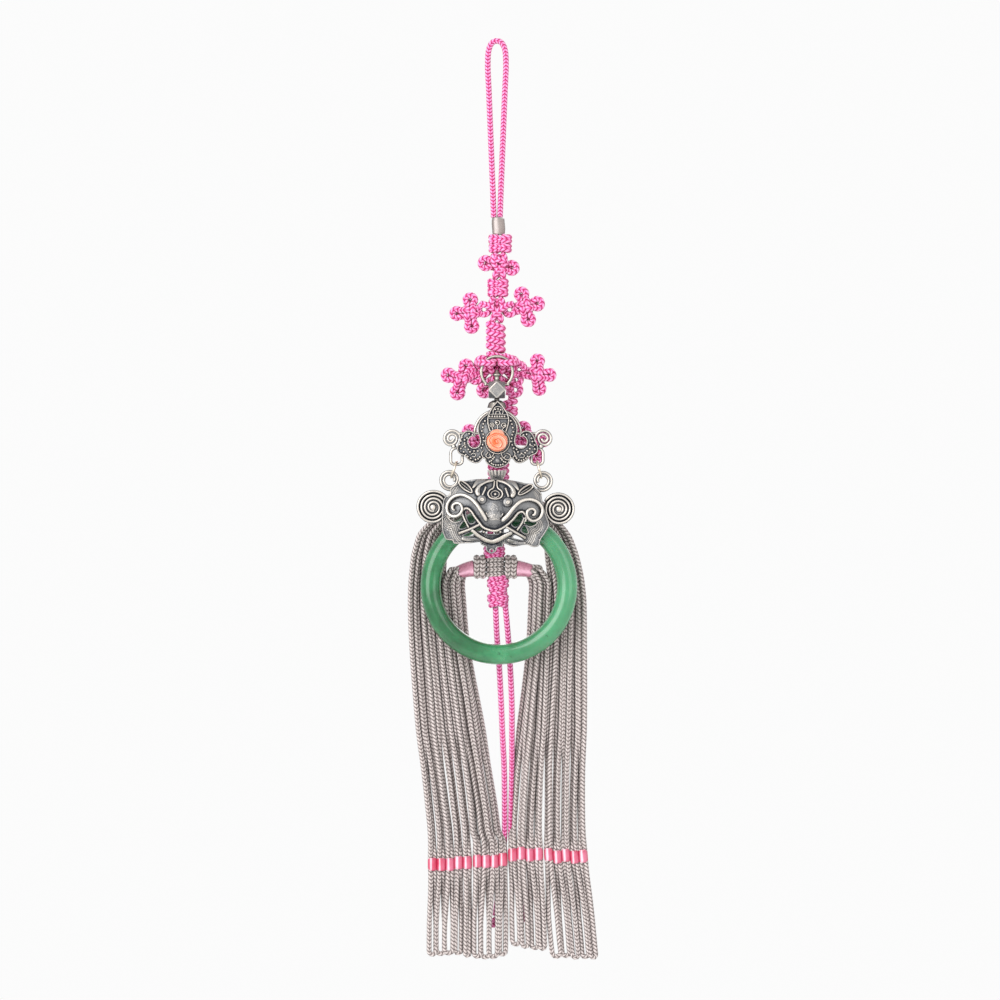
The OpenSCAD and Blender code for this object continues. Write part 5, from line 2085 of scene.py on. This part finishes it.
@dataclass
class Rose:
    """The carved coral rose."""

    palette: Palette
    swirls: float = 2.15

    def build(self) -> None:
        """Carves the rose from a flattened ball."""
        low, high = millimetres("coral_rose")
        x, _, z = (low + high) / 2
        radius, rise = (high[0] - low[0]) / 2, high[1] - low[1]
        ball = bpy.ops.mesh.primitive_uv_sphere_add
        made = primitive("coral_rose_carving", ball, segments=128, ring_count=112, radius=1)
        mesh = made.data
        co = points_of(mesh)
        # lengths are shares of the rose's radius, heights shares of its rise, and angles radians
        phi = np.arctan2(co[:, 1], co[:, 0])
        polar = np.arccos(np.clip(co[:, 2], -1, 1)) / (math.pi / 2)  # 0 front, 1 rim, 2 back
        front = np.clip(polar, 0, 1)
        upright = (phi - math.pi / 2 + math.pi) % (2 * math.pi) - math.pi
        rim = (
            1 + 0.1 * np.exp(-((upright / 0.62) ** 4))
            - 0.1 * np.exp(-(((np.abs(upright) - 0.92) / 0.13) ** 2))
        )
        rim -= 0.035 * np.exp(-(((np.abs(upright) - 2.1) / 0.1) ** 2))
        u, v = front * rim * np.cos(phi), front * rim * np.sin(phi) + 0.1
        bloom = np.hypot(u, (v + 0.02) / 0.78)  # 1 on the edge of the main bloom
        waver = (0.17 * np.sin(2 * phi + 0.7) + 0.12 * np.sin(3 * phi + 2.2)) * np.clip(bloom * 1.6, 0, 1)
        turns = np.clip(bloom, 0, 1) * self.swirls + phi / (2 * math.pi) + waver
        part = turns - np.floor(turns)
        lip = np.exp(-(((part - 0.86) / 0.1) ** 2)) + np.exp(-(((part + 0.14) / 0.1) ** 2))
        crease = np.exp(-((part / 0.09) ** 2)) + np.exp(-(((part - 1) / 0.05) ** 2))
        dome = np.sqrt(np.maximum(1 - (front * 0.95) ** 2, 0))
        main = 0.34 + 0.5 * dome + 0.1 * part**1.6 + 0.03 * lip - 0.09 * crease
        bud = np.exp(-((bloom / 0.13) ** 2))
        main += 0.1 * bud - 0.1 * np.exp(-((bloom / 0.05) ** 2))
        outer = 0.2 + 0.42 * dome + 0.1 * np.exp(-(((front - 0.82) / 0.14) ** 2))
        share = 1 / (1 + np.exp((bloom - 1.0) * 40))
        height = main * share + outer * (1 - share)
        edge = np.exp(-(((bloom - 1.03) / 0.05) ** 2))
        height -= 0.1 * edge
        # colour value for the coral: painted highlight on the petals' lips, painted shade in the creases and
        # in the groove round the bloom, darker round the middle with a lighter bud
        relief = (
            0.62 + 0.3 * lip * share - 0.5 * crease * share - 0.5 * edge
            - 0.35 * np.exp(-((bloom / 0.45) ** 2)) + 0.2 * bud
        )
        # darker in a patch left of the middle and lighter towards the right
        relief = relief - 0.5 * np.exp(-(((u + 0.3) / 0.2) ** 2) - (v / 0.4) ** 2) + 0.15 * u
        back = np.clip(2 - polar, 0, 1)
        height = np.where(polar > 1, height * back, height)
        out = np.where(polar > 1, back**0.4, front) * rim
        spots = np.stack(
            [
                x + radius * out * np.cos(phi) / 1.02,
                high[1] - rise * np.clip(height, 0, 1),
                z + radius * out * np.sin(phi) / 1.02,
            ],
            1,
        )
        mesh.vertices.foreach_set("co", (spots * MM).ravel())
        mesh.attributes.new("relief", "FLOAT", "POINT").data.foreach_set("value", np.clip(relief, 0, 1.2))
        mesh.materials.append(self.palette.coral)
        turn_outwards(made)
        mesh.shade_smooth()
        settle(made, Body.PENDANT, "coral_rose")


@dataclass
class BeastMask:
    """The pierced mask with its whiskers."""

    palette: Palette
    centre: Point = (-0.8, -13.4, -181.87)
    turn: float = 1.2
    half_width: float = 19.86
    half_height: float = 12.8
    rise: float = 6.2

    VIEW = CloseUp((344.5, 450), 0.10864)
    OUTLINE = (
        (345, 336), (315, 338), (285, 339.5), (258, 343), (238, 347), (219, 346), (210, 357), (196, 366),
        (187, 375), (184, 394.5), (170, 404), (163, 420), (160, 450), (160, 474), (160, 511), (165, 533),
        (174.5, 552), (187, 556), (198, 557), (203, 566), (212, 568), (240, 566), (269, 564), (294, 560.5),
        (299, 569), (309, 573), (316, 577), (318, 590), (334.5, 600.5), (351.5, 592), (357, 578),
        (376, 574), (380, 564), (412, 574), (444, 568), (463, 567), (482, 574), (502, 569), (508, 547),
        (521, 527), (536, 496), (528, 467), (516, 430), (509, 402), (508, 387), (496, 374), (480, 360),
        (474, 352), (452, 351), (424, 345), (390, 340),
    )
    OPENINGS = (
        ((245, 452), (256, 455), (274, 482), (272, 492), (258, 494), (248, 475)),
        ((441, 461), (430, 462), (409, 487), (407, 497), (420, 504), (436, 486)),
        ((222, 512), (232, 495), (240, 490), (247, 505), (235, 514)),
        ((462, 524), (455, 506), (448, 500), (440, 514), (449, 525)),
        ((280, 517), (292, 508), (303, 520), (295, 524)),
        ((397, 519), (386, 510), (374, 520), (382, 525)),
        ((236, 540), (265, 526), (270, 537)),
        ((446, 549), (419, 533), (412, 543)),
        ((180, 472), (190, 478), (228, 470), (227, 484), (206, 491), (192, 485)),
        ((492, 487), (452, 485), (453, 493), (472, 501)),
        ((315, 523.5), (337, 523), (359, 523.5), (357, 529), (337, 530), (317, 529)),
        ((337, 585), (342, 590), (337, 595), (332, 590)),
    )
    LIP = (
        (225, 480), (226, 462), (236, 446), (249, 443), (262, 453), (274, 470), (291, 491.5), (305, 508),
        (330, 518), (351.5, 519), (373, 509), (393, 494), (412, 474.5), (426.6, 456), (441, 451),
        (453, 462), (455, 476), (450, 490),
    )
    FANGS = (((230, 462), (240, 484), (253, 508)), ((448, 474), (440, 492), (426, 514)))
    STRAPS = (((222, 531), (258, 516), (291, 499)), ((388, 506), (420, 524), (452, 542)))
    LOWER_LIP = (
        (268, 521), (282, 533), (298, 544), (320, 554.5), (340, 558), (361, 550), (383, 537), (402, 526)
    )
    CRESCENTS = (
        ((338, 342), (320, 345.5), (303, 353), (290, 362), (283, 373), (280.5, 383), (284, 391)),
        ((352, 343), (370, 346), (388, 354), (401, 364), (408, 375), (410, 386), (406, 394)),
    )
    CRESCENT_RIMS = (
        ((334, 346.5), (316, 351), (301, 358.5), (292.5, 367), (289.5, 378), (290.5, 389)),
        ((357, 347), (374, 352), (389, 360), (398, 369), (401, 380), (400, 391)),
    )
    LOBES = (((301, 343), (283, 350), (267, 369)), ((392, 346), (410, 354), (425, 373)))
    LEAVES = (
        ((217, 350), (226, 347), (245, 358), (260, 374), (263, 386), (252, 385), (232, 373), (219, 359)),
        ((476, 359), (467, 354), (448, 363), (431, 378), (427, 390), (439, 390), (460, 378), (474, 366)),
    )
    LEAF_VEINS = (((224, 354), (240, 367), (258, 381)), ((470, 361), (453, 373), (433, 386)))
    BROWS = (((311, 368), (307, 380), (301, 393)), ((381, 371), (386, 384), (391, 397)))
    EYES = ((298, 410.4), (389, 418))
    NOSTRILS = (((315, 458), (321, 469), (333, 474)), ((373, 459), (367, 470), (356, 474)))
    HEART = (
        (341, 346), (340, 362), (336, 371), (325, 378), (319.5, 390), (325, 402), (337, 407), (353, 407),
        (365, 402), (370.5, 390), (365, 378), (355, 371), (351, 362), (350, 346),
    )
    HEART_MIDDLE = (345, 391)
    NOSE = (344.5, 414)
    TEETH = ((308, 524), (320, 525), (354, 524), (366, 523))
    BARS = (((236, 549), (262, 552), (292, 551)), ((396, 553), (424, 560), (450, 561)))
    CHEEKS = (
        (
            (190, 492), (203.4, 495), (213, 497), (216, 508.6), (218.6, 519.3), (224, 531.8), (232, 542.5),
            (251, 546), (290, 544),
        ),
        ((484, 500), (470, 508), (464, 519), (461, 531), (456, 543), (447, 552), (430, 556), (396, 552)),
    )
    SHOULDERS = (
        ((168, 452), (170, 478), (184, 500)),
        ((206, 372), (196, 384), (192, 398)),
        ((486, 378), (496, 390), (500, 404)),
    )
    DOTS = (
        (217, 497), (177, 515), (187, 518), (182, 529), (187, 540), (208, 556), (489, 505), (507, 520),
        (497, 530), (503, 541), (486, 560), (470, 562), (322, 565), (337, 567), (354, 564), (240, 560),
        (276, 558), (430, 569), (412, 562),
    )
    WHISKERS = {
        Side.LEFT: (
            (317.5, 486.6), (307, 468), (295.7, 450), (278.8, 426), (257, 406.6), (228, 395.7), (201, 402),
            (182, 421), (176, 443), (182, 462), (199, 472), (218, 467), (230, 450), (225.4, 431),
            (211, 425), (197.6, 432), (196.4, 445), (206, 452),
        ),
        Side.RIGHT: (
            (368.4, 486.6), (379, 476), (390, 465), (412, 436), (436, 414), (465, 406.6), (492, 414),
            (509, 433), (511, 455), (499, 474.5), (477.5, 482), (460.5, 470), (458, 450), (472.6, 439),
            (485, 445), (486, 457.5), (475, 464),
        ),
    }

    def surface(self) -> MaskSurface:
        """The bare mask."""
        return MaskSurface(self.centre, self.turn, self.half_width, self.half_height, self.rise)

    def build(self) -> None:
        """Builds the mask and its whiskers."""
        view = self.VIEW
        openings = [view.line(opening) for opening in self.OPENINGS]
        outline = view.line(self.OUTLINE)
        plate = ReliefPlate(view, outline, openings, cell=0.15, rim=(0.6, 0.32, 0.0))
        plate.wires([self.LIP], 1.15, 1.25, rib=0.5)
        plate.wires([self.LOWER_LIP], 1.75, 1.15)
        plate.grains += [
            Knob(*view.at((x, 548 - 0.011 * (x - 340) ** 2)), 0.3, 0.16) for x in range(290, 396, 6)
        ]
        plate.wires(self.FANGS, 1.15, 1.0, rib=0.5, end_width=0.9)
        plate.wires(self.STRAPS, 1.2, 1.2, rib=0.5)
        plate.wires(self.CRESCENTS, 0.6, 0.95, end_width=2.0)
        plate.wires(self.CRESCENT_RIMS, 0.4, 0.6, rib=0.42)
        plate.wires(self.LOBES, 3.0, 0.8, end_width=0.9)
        plate.wires(self.LEAVES, 0.72, 0.85, closed=True)
        plate.wires(self.LEAF_VEINS, 0.4, 0.4, rib=0.45)
        plate.wires(self.BROWS, 0.9, 0.85, rib=0.5)
        plate.wires(self.NOSTRILS, 0.7, 0.8, end_width=1.5)
        plate.wires(self.BARS, 1.5, 0.45)
        plate.engrave(self.BARS, 0.42, 0.16, count=2)
        plate.engrave(self.CHEEKS, 0.7, 0.3, count=5, shine=0.22)
        plate.engrave(self.SHOULDERS, 0.66, 0.22, count=2, shine=0.2)
        for x, z in map(view.at, self.EYES):
            plate.raised.append(Knob(x, z, 1.85, 0.8))
            plate.raised.append(Knob(x + 0.15, z - 0.05, 1.05, 1.35, dimple=0.45))
        plate.wires([self.HEART], 0.72, 0.9)
        heart = view.at(self.HEART_MIDDLE)
        plate.raised.append(Ridge(circle_line(*heart, 1.6, 0.78), 0.4, 0.55, rib=0.42, closed=True))
        plate.knobs([self.HEART_MIDDLE], 0.55, 0.75)
        self._nose(plate)
        plate.knobs(self.TEETH, 0.55, 1.1)
        for place in self.DOTS:
            plate.sunk.append(Groove(circle_line(*view.at(place), 0.36), 0.2, 0.2, closed=True))
        silver = self.palette.relief_silver
        made = plate.build("beast_mask_relief", self.surface(), silver, thickness=0.9)
        settle(made, Body.DROP, "beast_plate")
        for side in Side:
            self._whisker(side)

    def _nose(self, plate: ReliefPlate) -> None:
        """A pebbled drop-shaped nose.

        Args:
            plate: the plate that it is raised on.
        """
        middle, top = self.VIEW.at(self.NOSE)
        plate.raised.append(Knob(middle, top - 4.2, 3.4, 0.85, tall=1.5, soft=True))
        plate.raised.append(Knob(middle, top - 6.0, 4.3, 1.25, tall=0.85, soft=True))
        rng = np.random.default_rng(5)
        for row, z in enumerate(np.arange(top - 1.2, top - 7.6, -0.5)):
            half = 0.5 + 2.0 * math.sin(math.pi * min((top - z) / 10.5, 1.0) ** 1.5)
            for x in np.arange(-half + 0.27 * (row % 2), half, 0.54):
                dx, dz = rng.uniform(-0.07, 0.07, 2)
                plate.grains.append(Knob(middle + x + dx, z + dz, 0.3, 0.2))

    def _whisker(self, side: Side) -> None:
        """A twisted wire that curls over the cheek.

        Args:
            side: left or right.
        """
        line = smooth_route(self.VIEW.line(self.WHISKERS[side]), 0.45)
        n = len(line)
        radii = 0.9 * (1 - 0.36 * np.linspace(0, 1, n))
        radii[:3] *= (0.5, 0.8, 0.95)
        radii[-2:] *= (0.9, 0.6)
        spots = self.surface().place(line[:, 0], line[:, 1], radii * 0.8 + 0.75)
        mesh = CordMesh(16)
        mesh.run(spots, radii, deep=0.95)
        name = "whisker_" + side.name.lower()
        settle(mesh.build(name + "_wire", self.palette.wire_silver), Body.DROP, name)


@dataclass
class Scroll:
    """A flat spiral of silver wire at the edge of the mask, in millimetres and degrees."""

    # radius is the outer one, hole the inner one, and start the angle of the wire's outer end
    node: str
    palette: Palette
    side: Side
    radius: float
    hole: float
    wire: float
    pitch: float
    start: float
    way: int
    shift: Flat = (0.0, 0.0)
    knob: float = 0.0

    def build(self) -> None:
        """Winds the wire inwards."""
        low, high = millimetres(self.node)
        x = (low[0] + high[0]) / 2 + self.shift[0]
        z = ((low[2] + high[2]) / 2 if self.knob else high[2] - 4.0) + self.shift[1]
        y = low[1] + self.wire / 2 if self.knob else high[1] - self.wire / 2 - 0.3
        turns = (self.radius - self.hole - self.wire) / self.pitch
        gone = np.linspace(0, turns * 2 * math.pi, int(turns * 48))
        r = self.radius - self.wire / 2 - self.pitch * gone / (2 * math.pi)
        a = math.radians(self.start) + self.way * gone
        mesh = CordMesh(12)
        radii = np.full(len(a), self.wire / 2)
        radii[0] *= 0.7
        radii[-1] *= 0.7
        mesh.run(
            np.stack([x + self.side.value * r * np.cos(a), np.full_like(a, y), z + r * np.sin(a)], 1), radii
        )
        if self.knob:
            levels = np.linspace(-1, 1, 9) * 0.96
            mesh.run(
                np.array([(x, y + self.knob * t * 0.7, z) for t in levels]),
                self.knob * np.sqrt(1 - levels**2),
            )
            mesh.run(np.array([(x, y + t, z) for t in (0.08, 0.2, 0.32)]), self.radius - self.wire * 0.62)
        else:
            root = (x - self.side.value * self.radius * 0.42, y, z - self.radius * 0.9)
            mesh.run(
                np.array([root, (root[0], y - 1.2, root[2] - 0.25), (root[0], y - 2.1, root[2] - 0.3)]), 0.8
            )
        settle(mesh.build(self.node + "_wire", self.palette.wire_silver), Body.DROP, self.node)


@dataclass
class FacetBead:
    """The cut bead with its finial."""

    palette: Palette
    height: float = 6.5

    # height and radius of the finial, from the bead up
    FINIAL = (
        (0.0, 1.75), (0.35, 1.8), (0.55, 1.3), (0.85, 0.95), (1.7, 0.95), (1.95, 1.15), (2.15, 1.65),
        (2.5, 1.7), (2.8, 1.25), (3.3, 0.75), (3.8, 0.55), (4.05, 0.2),
    )

    def build(self) -> None:
        """Cuts the bead from a cube and turns its finial and foot."""
        low, high = millimetres("facet_bead")
        x, y, _ = (low + high) / 2
        width, foot = high[0] - low[0], low[2] + 0.9
        made = primitive("facet_bead_body", bpy.ops.mesh.primitive_cube_add, size=1)
        bpy.ops.object.mode_set(mode="EDIT")
        bpy.ops.mesh.select_all(action="SELECT")
        bpy.ops.mesh.bevel(offset=0.5, affect="VERTICES")
        bpy.ops.mesh.remove_doubles(threshold=0.01)
        bpy.ops.mesh.bevel(offset=0.035, segments=3, affect="EDGES")
        bpy.ops.transform.resize(value=(width * MM, width * MM, self.height * MM), center_override=(0, 0, 0))
        bpy.ops.transform.translate(value=(x * MM, y * MM, (foot + self.height / 2) * MM))
        bpy.ops.object.mode_set(mode="OBJECT")
        work = bmesh.new()
        work.from_mesh(made.data)
        layer = work.faces.layers.float.new("relief")
        square = (width * MM) ** 2
        wide = [f for f in work.faces if f.calc_area() > 0.3 * square]
        corners = [f for f in work.faces if 0.1 * square < f.calc_area() <= 0.3 * square]
        for f in work.faces:  # the fine edges first, then the flats
            f[layer] = 0.68
        # corner facets that face down get painted shade, much darker than those that face up
        for f in corners:
            f[layer] = 0.46 if f.normal.z > 0 else 0.1
        bmesh.ops.inset_individual(work, faces=wide, thickness=0.28 * MM, depth=0)
        for f in wide:
            f[layer] = 0.52
        bmesh.ops.inset_individual(work, faces=wide, thickness=0.12 * MM, depth=-0.07 * MM)
        work.to_mesh(made.data)
        work.free()
        made.data.materials.append(self.palette.relief_silver)
        settle(made, Body.PENDANT, "facet_bead")
        top = foot + self.height - 0.25
        share = (high[2] - top) / self.FINIAL[-1][0]
        mesh = CordMesh(28)
        mesh.run(
            np.array([(x, y, top + level * share) for level, _ in self.FINIAL]),
            [radius for _, radius in self.FINIAL],
        )
        mesh.run(np.array([(x, y, z) for z in (low[2], low[2] + 0.3, foot + 0.1)]), 1.0)
        settle(mesh.build("facet_bead_finial", self.palette.ring_silver), Body.PENDANT)


@dataclass
class LotusCup:
    """A small cup of petals over the mask."""

    palette: Palette
    petals: int = 14

    def build(self) -> None:
        """Joins rings of lobed points from the foot over the lip to the inside."""
        low, high = millimetres("lotus_cup")
        x, y, _ = (low + high) / 2
        reach, tall = (high[0] - low[0]) / 2, high[2] - low[2]
        profile = (
            (0.55, -0.18), (0.62, -0.12), (0.68, 0.0), (0.78, 0.25), (0.87, 0.5), (0.94, 0.75),
            (0.98, 0.93), (0.97, 1.0), (0.92, 1.0), (0.86, 0.9), (0.8, 0.7), (0.6, 0.5), (0.3, 0.45),
            (0.02, 0.45),
        )
        mesh = CordMesh(112)
        rings = []
        for share, level in profile:
            ring = []
            for a in full_turn(mesh.sides):
                dent = 1 - abs(math.cos(self.petals / 2 * a))
                wide = reach * share * (1 - 0.2 * dent**2 * min(max(level + 0.1, 0) * 3, 1.0))
                z = low[2] + tall * (level - 0.12 * dent**1.5 * max(level - 0.6, 0) / 0.4)
                ring.append((x + wide * math.cos(a), y + wide * math.sin(a), z))
            rings.append(np.array(ring))
        mesh.loft(rings, np.zeros(len(rings)))
        settle(mesh.build("lotus_cup_petals", self.palette.silver), Body.DROP, "lotus_cup")


class Metalwork:
    """CAD nodes whose shape is right and that only take a finish."""

    def __init__(self, palette: Palette) -> None:
        """Chooses the finishes.

        Args:
            palette: the norigae's finishes.
        """
        self.finishes = {
            palette.silver: ("rose_setting", "jade_hook"),
            palette.wire_silver: ("wire_frame",),
            palette.ring_silver: ("hanger_ring", "lotus_cap"),
            palette.polished: ("jump_ring_left", "jump_ring_right"),
            palette.jade: ("jade_ring",),
        }

    def build(self) -> None:
        """Dresses the nodes."""
        for material, nodes in self.finishes.items():
            for node in nodes:
                self._dress(node, material)

    @staticmethod
    def _dress(node: str, material: Material) -> None:
        """Gives one CAD node its finish.

        Args:
            node: its name.
            material: the finish.
        """
        piece = bpy.data.objects[node]
        for slot in piece.material_slots:
            slot.material = material
        if not piece.material_slots:
            piece.data.materials.append(material)
        LOG.info("%s takes %s", node, material.name)


# Studio


@dataclass
class Studio:
    """Camera, floor and soft light; height is what the view shows, and the sensor is in millimetres."""

    height: float = 0.3846
    distance: float = 1.6
    aim: Point = (0.0012, 0.0, -0.1777)
    sensor: float = 36
    floor_level: float = -0.72
    floor_size: float = 1.6

    def build(self) -> None:
        """Sets up the view and the light."""
        scene = bpy.context.scene
        scene.view_settings.view_transform = "Standard"
        camera = bpy.data.cameras.new("Camera")
        camera.sensor_width = self.sensor
        camera.lens = self.sensor * self.distance / self.height
        camera.clip_start, camera.clip_end = 0.05, 20
        holder = bpy.data.objects.new("Camera", camera)
        scene.collection.objects.link(holder)
        holder.location = Vector(self.aim) + Vector((0, -self.distance, 0))
        holder.rotation_euler = (math.pi / 2, 0, 0)
        scene.camera = holder
        self._light("Key", (-0.75, -1.0, 0.3), (1.0, 1.5), power=15.5)
        self._light("Fill", (0.9, -1.1, 0.0), (0.8, 0.8), power=3)
        self._light("Back", (0.2, 1.3, 0.5), (1.0, 1.0), power=5)
        world = bpy.data.worlds.new("Studio")
        scene.world = world
        world.use_nodes = True
        world.node_tree.nodes["Background"].inputs[0].default_value = (1, 1, 1, 1)
        world.node_tree.nodes["Background"].inputs[1].default_value = 0.97
        self._floor()

    def _light(self, name: str, place: Point, size: Flat, power: float) -> None:
        """One soft area light that faces the object.

        Args:
            name: its name.
            place: where it stands.
            size: its width and height.
            power: in watts.
        """
        lamp = bpy.data.lights.new(name, "AREA")
        lamp.shape, lamp.energy = "RECTANGLE", power
        lamp.size, lamp.size_y = size
        holder = bpy.data.objects.new(name, lamp)
        bpy.context.scene.collection.objects.link(holder)
        holder.location = place
        holder.rotation_euler = (Vector(self.aim) - Vector(place)).to_track_quat("-Z", "Y").to_euler()

    def _floor(self) -> None:
        """A pale floor below the hanging object."""
        floor = primitive("Floor", bpy.ops.mesh.primitive_plane_add, size=self.floor_size)
        bpy.ops.object.mode_set(mode="EDIT")
        bpy.ops.mesh.select_all(action="SELECT")
        bpy.ops.transform.translate(value=(0, 0, self.floor_level))
        bpy.ops.mesh.subdivide(number_cuts=4)
        bpy.ops.object.mode_set(mode="OBJECT")
        f = Finish("pale_floor")
        haze = f.noise(9, 2)
        floor.data.materials.append(
            f.dress(Base_Color=f.mix(haze, (0.86, 0.86, 0.85), (0.9, 0.9, 0.89)), Roughness=0.8)
        )


def main() -> None:
    """Builds everything in order."""
    logging.basicConfig(level=logging.INFO, format="%(name)s: %(message)s")
    Studio().build()
    palette = Palette()
    FreeCord("hanging_loop", LOOP_ROUTE, "object", palette).build()
    FreeCord("left_tail", LEFT_TAIL_ROUTE, "knot", palette, knot="left_tail_knot").build()
    FreeCord("right_tail", RIGHT_TAIL_ROUTE, "knot", palette, knot="right_tail_knot").build()
    LoopBinding(palette).build()
    Knotwork(palette).build()
    Tassel("upper_tassel", palette, (0.0, 0.0, -180.0)).build(
        (
            Bundle(
                Side.LEFT,
                LEFT_OUTER,
                head=(-15.5, 0, -181.5),
                bottoms=(-353.4, -353.2, -352.9, -353.0, -353.9),
                binding_top=-314.8,
            ),
            Bundle(
                Side.RIGHT,
                RIGHT_OUTER,
                head=(15.5, 0, -181.5),
                bottoms=(-354.6, -354.4, -354.6, -354.0, -354.2),
                binding_top=-312.0,
            ),
        )
    )
    Tassel("lower_tassel", palette, (-0.6, 0.0, -203.4)).build(
        (
            Bundle(
                Side.LEFT,
                LEFT_INNER,
                head=(-14.4, 0, -205.8),
                bottoms=(-354.2, -354.5, -354.3, -353.4),
                binding_top=-313.6,
                tucked=True,
            ),
            Bundle(
                Side.RIGHT,
                RIGHT_INNER,
                head=(13.6, 0, -205.0),
                bottoms=(-351.2, -351.0, -350.4, -349.6),
                binding_top=-311.2,
                tucked=True,
            ),
        )
    )
    UpperPlate(palette).build()
    BeastMask(palette).build()
    for side, radius, spiral_shift, curl_shift in zip(
        Side, (6.9, 6.65), ((0.75, -0.5), (0.1, -0.2)), ((0.4, -1.2), (0.1, -0.8))
    ):
        name = side.name.lower()
        Scroll(
            "side_spiral_" + name,
            palette,
            side,
            radius,
            hole=0.8,
            wire=1.02,
            pitch=1.36,
            start=150,
            way=-1,
            shift=spiral_shift,
            knob=1.35,
        ).build()
        Scroll(
            "ear_curl_" + name,
            palette,
            side,
            radius=4.45,
            hole=1.15,
            wire=1.08,
            pitch=1.16,
            start=235,
            way=1,
            shift=curl_shift,
        ).build()
    FacetBead(palette).build()
    LotusCup(palette).build()
    Metalwork(palette).build()
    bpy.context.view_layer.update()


if __name__ == "__main__":
    main()
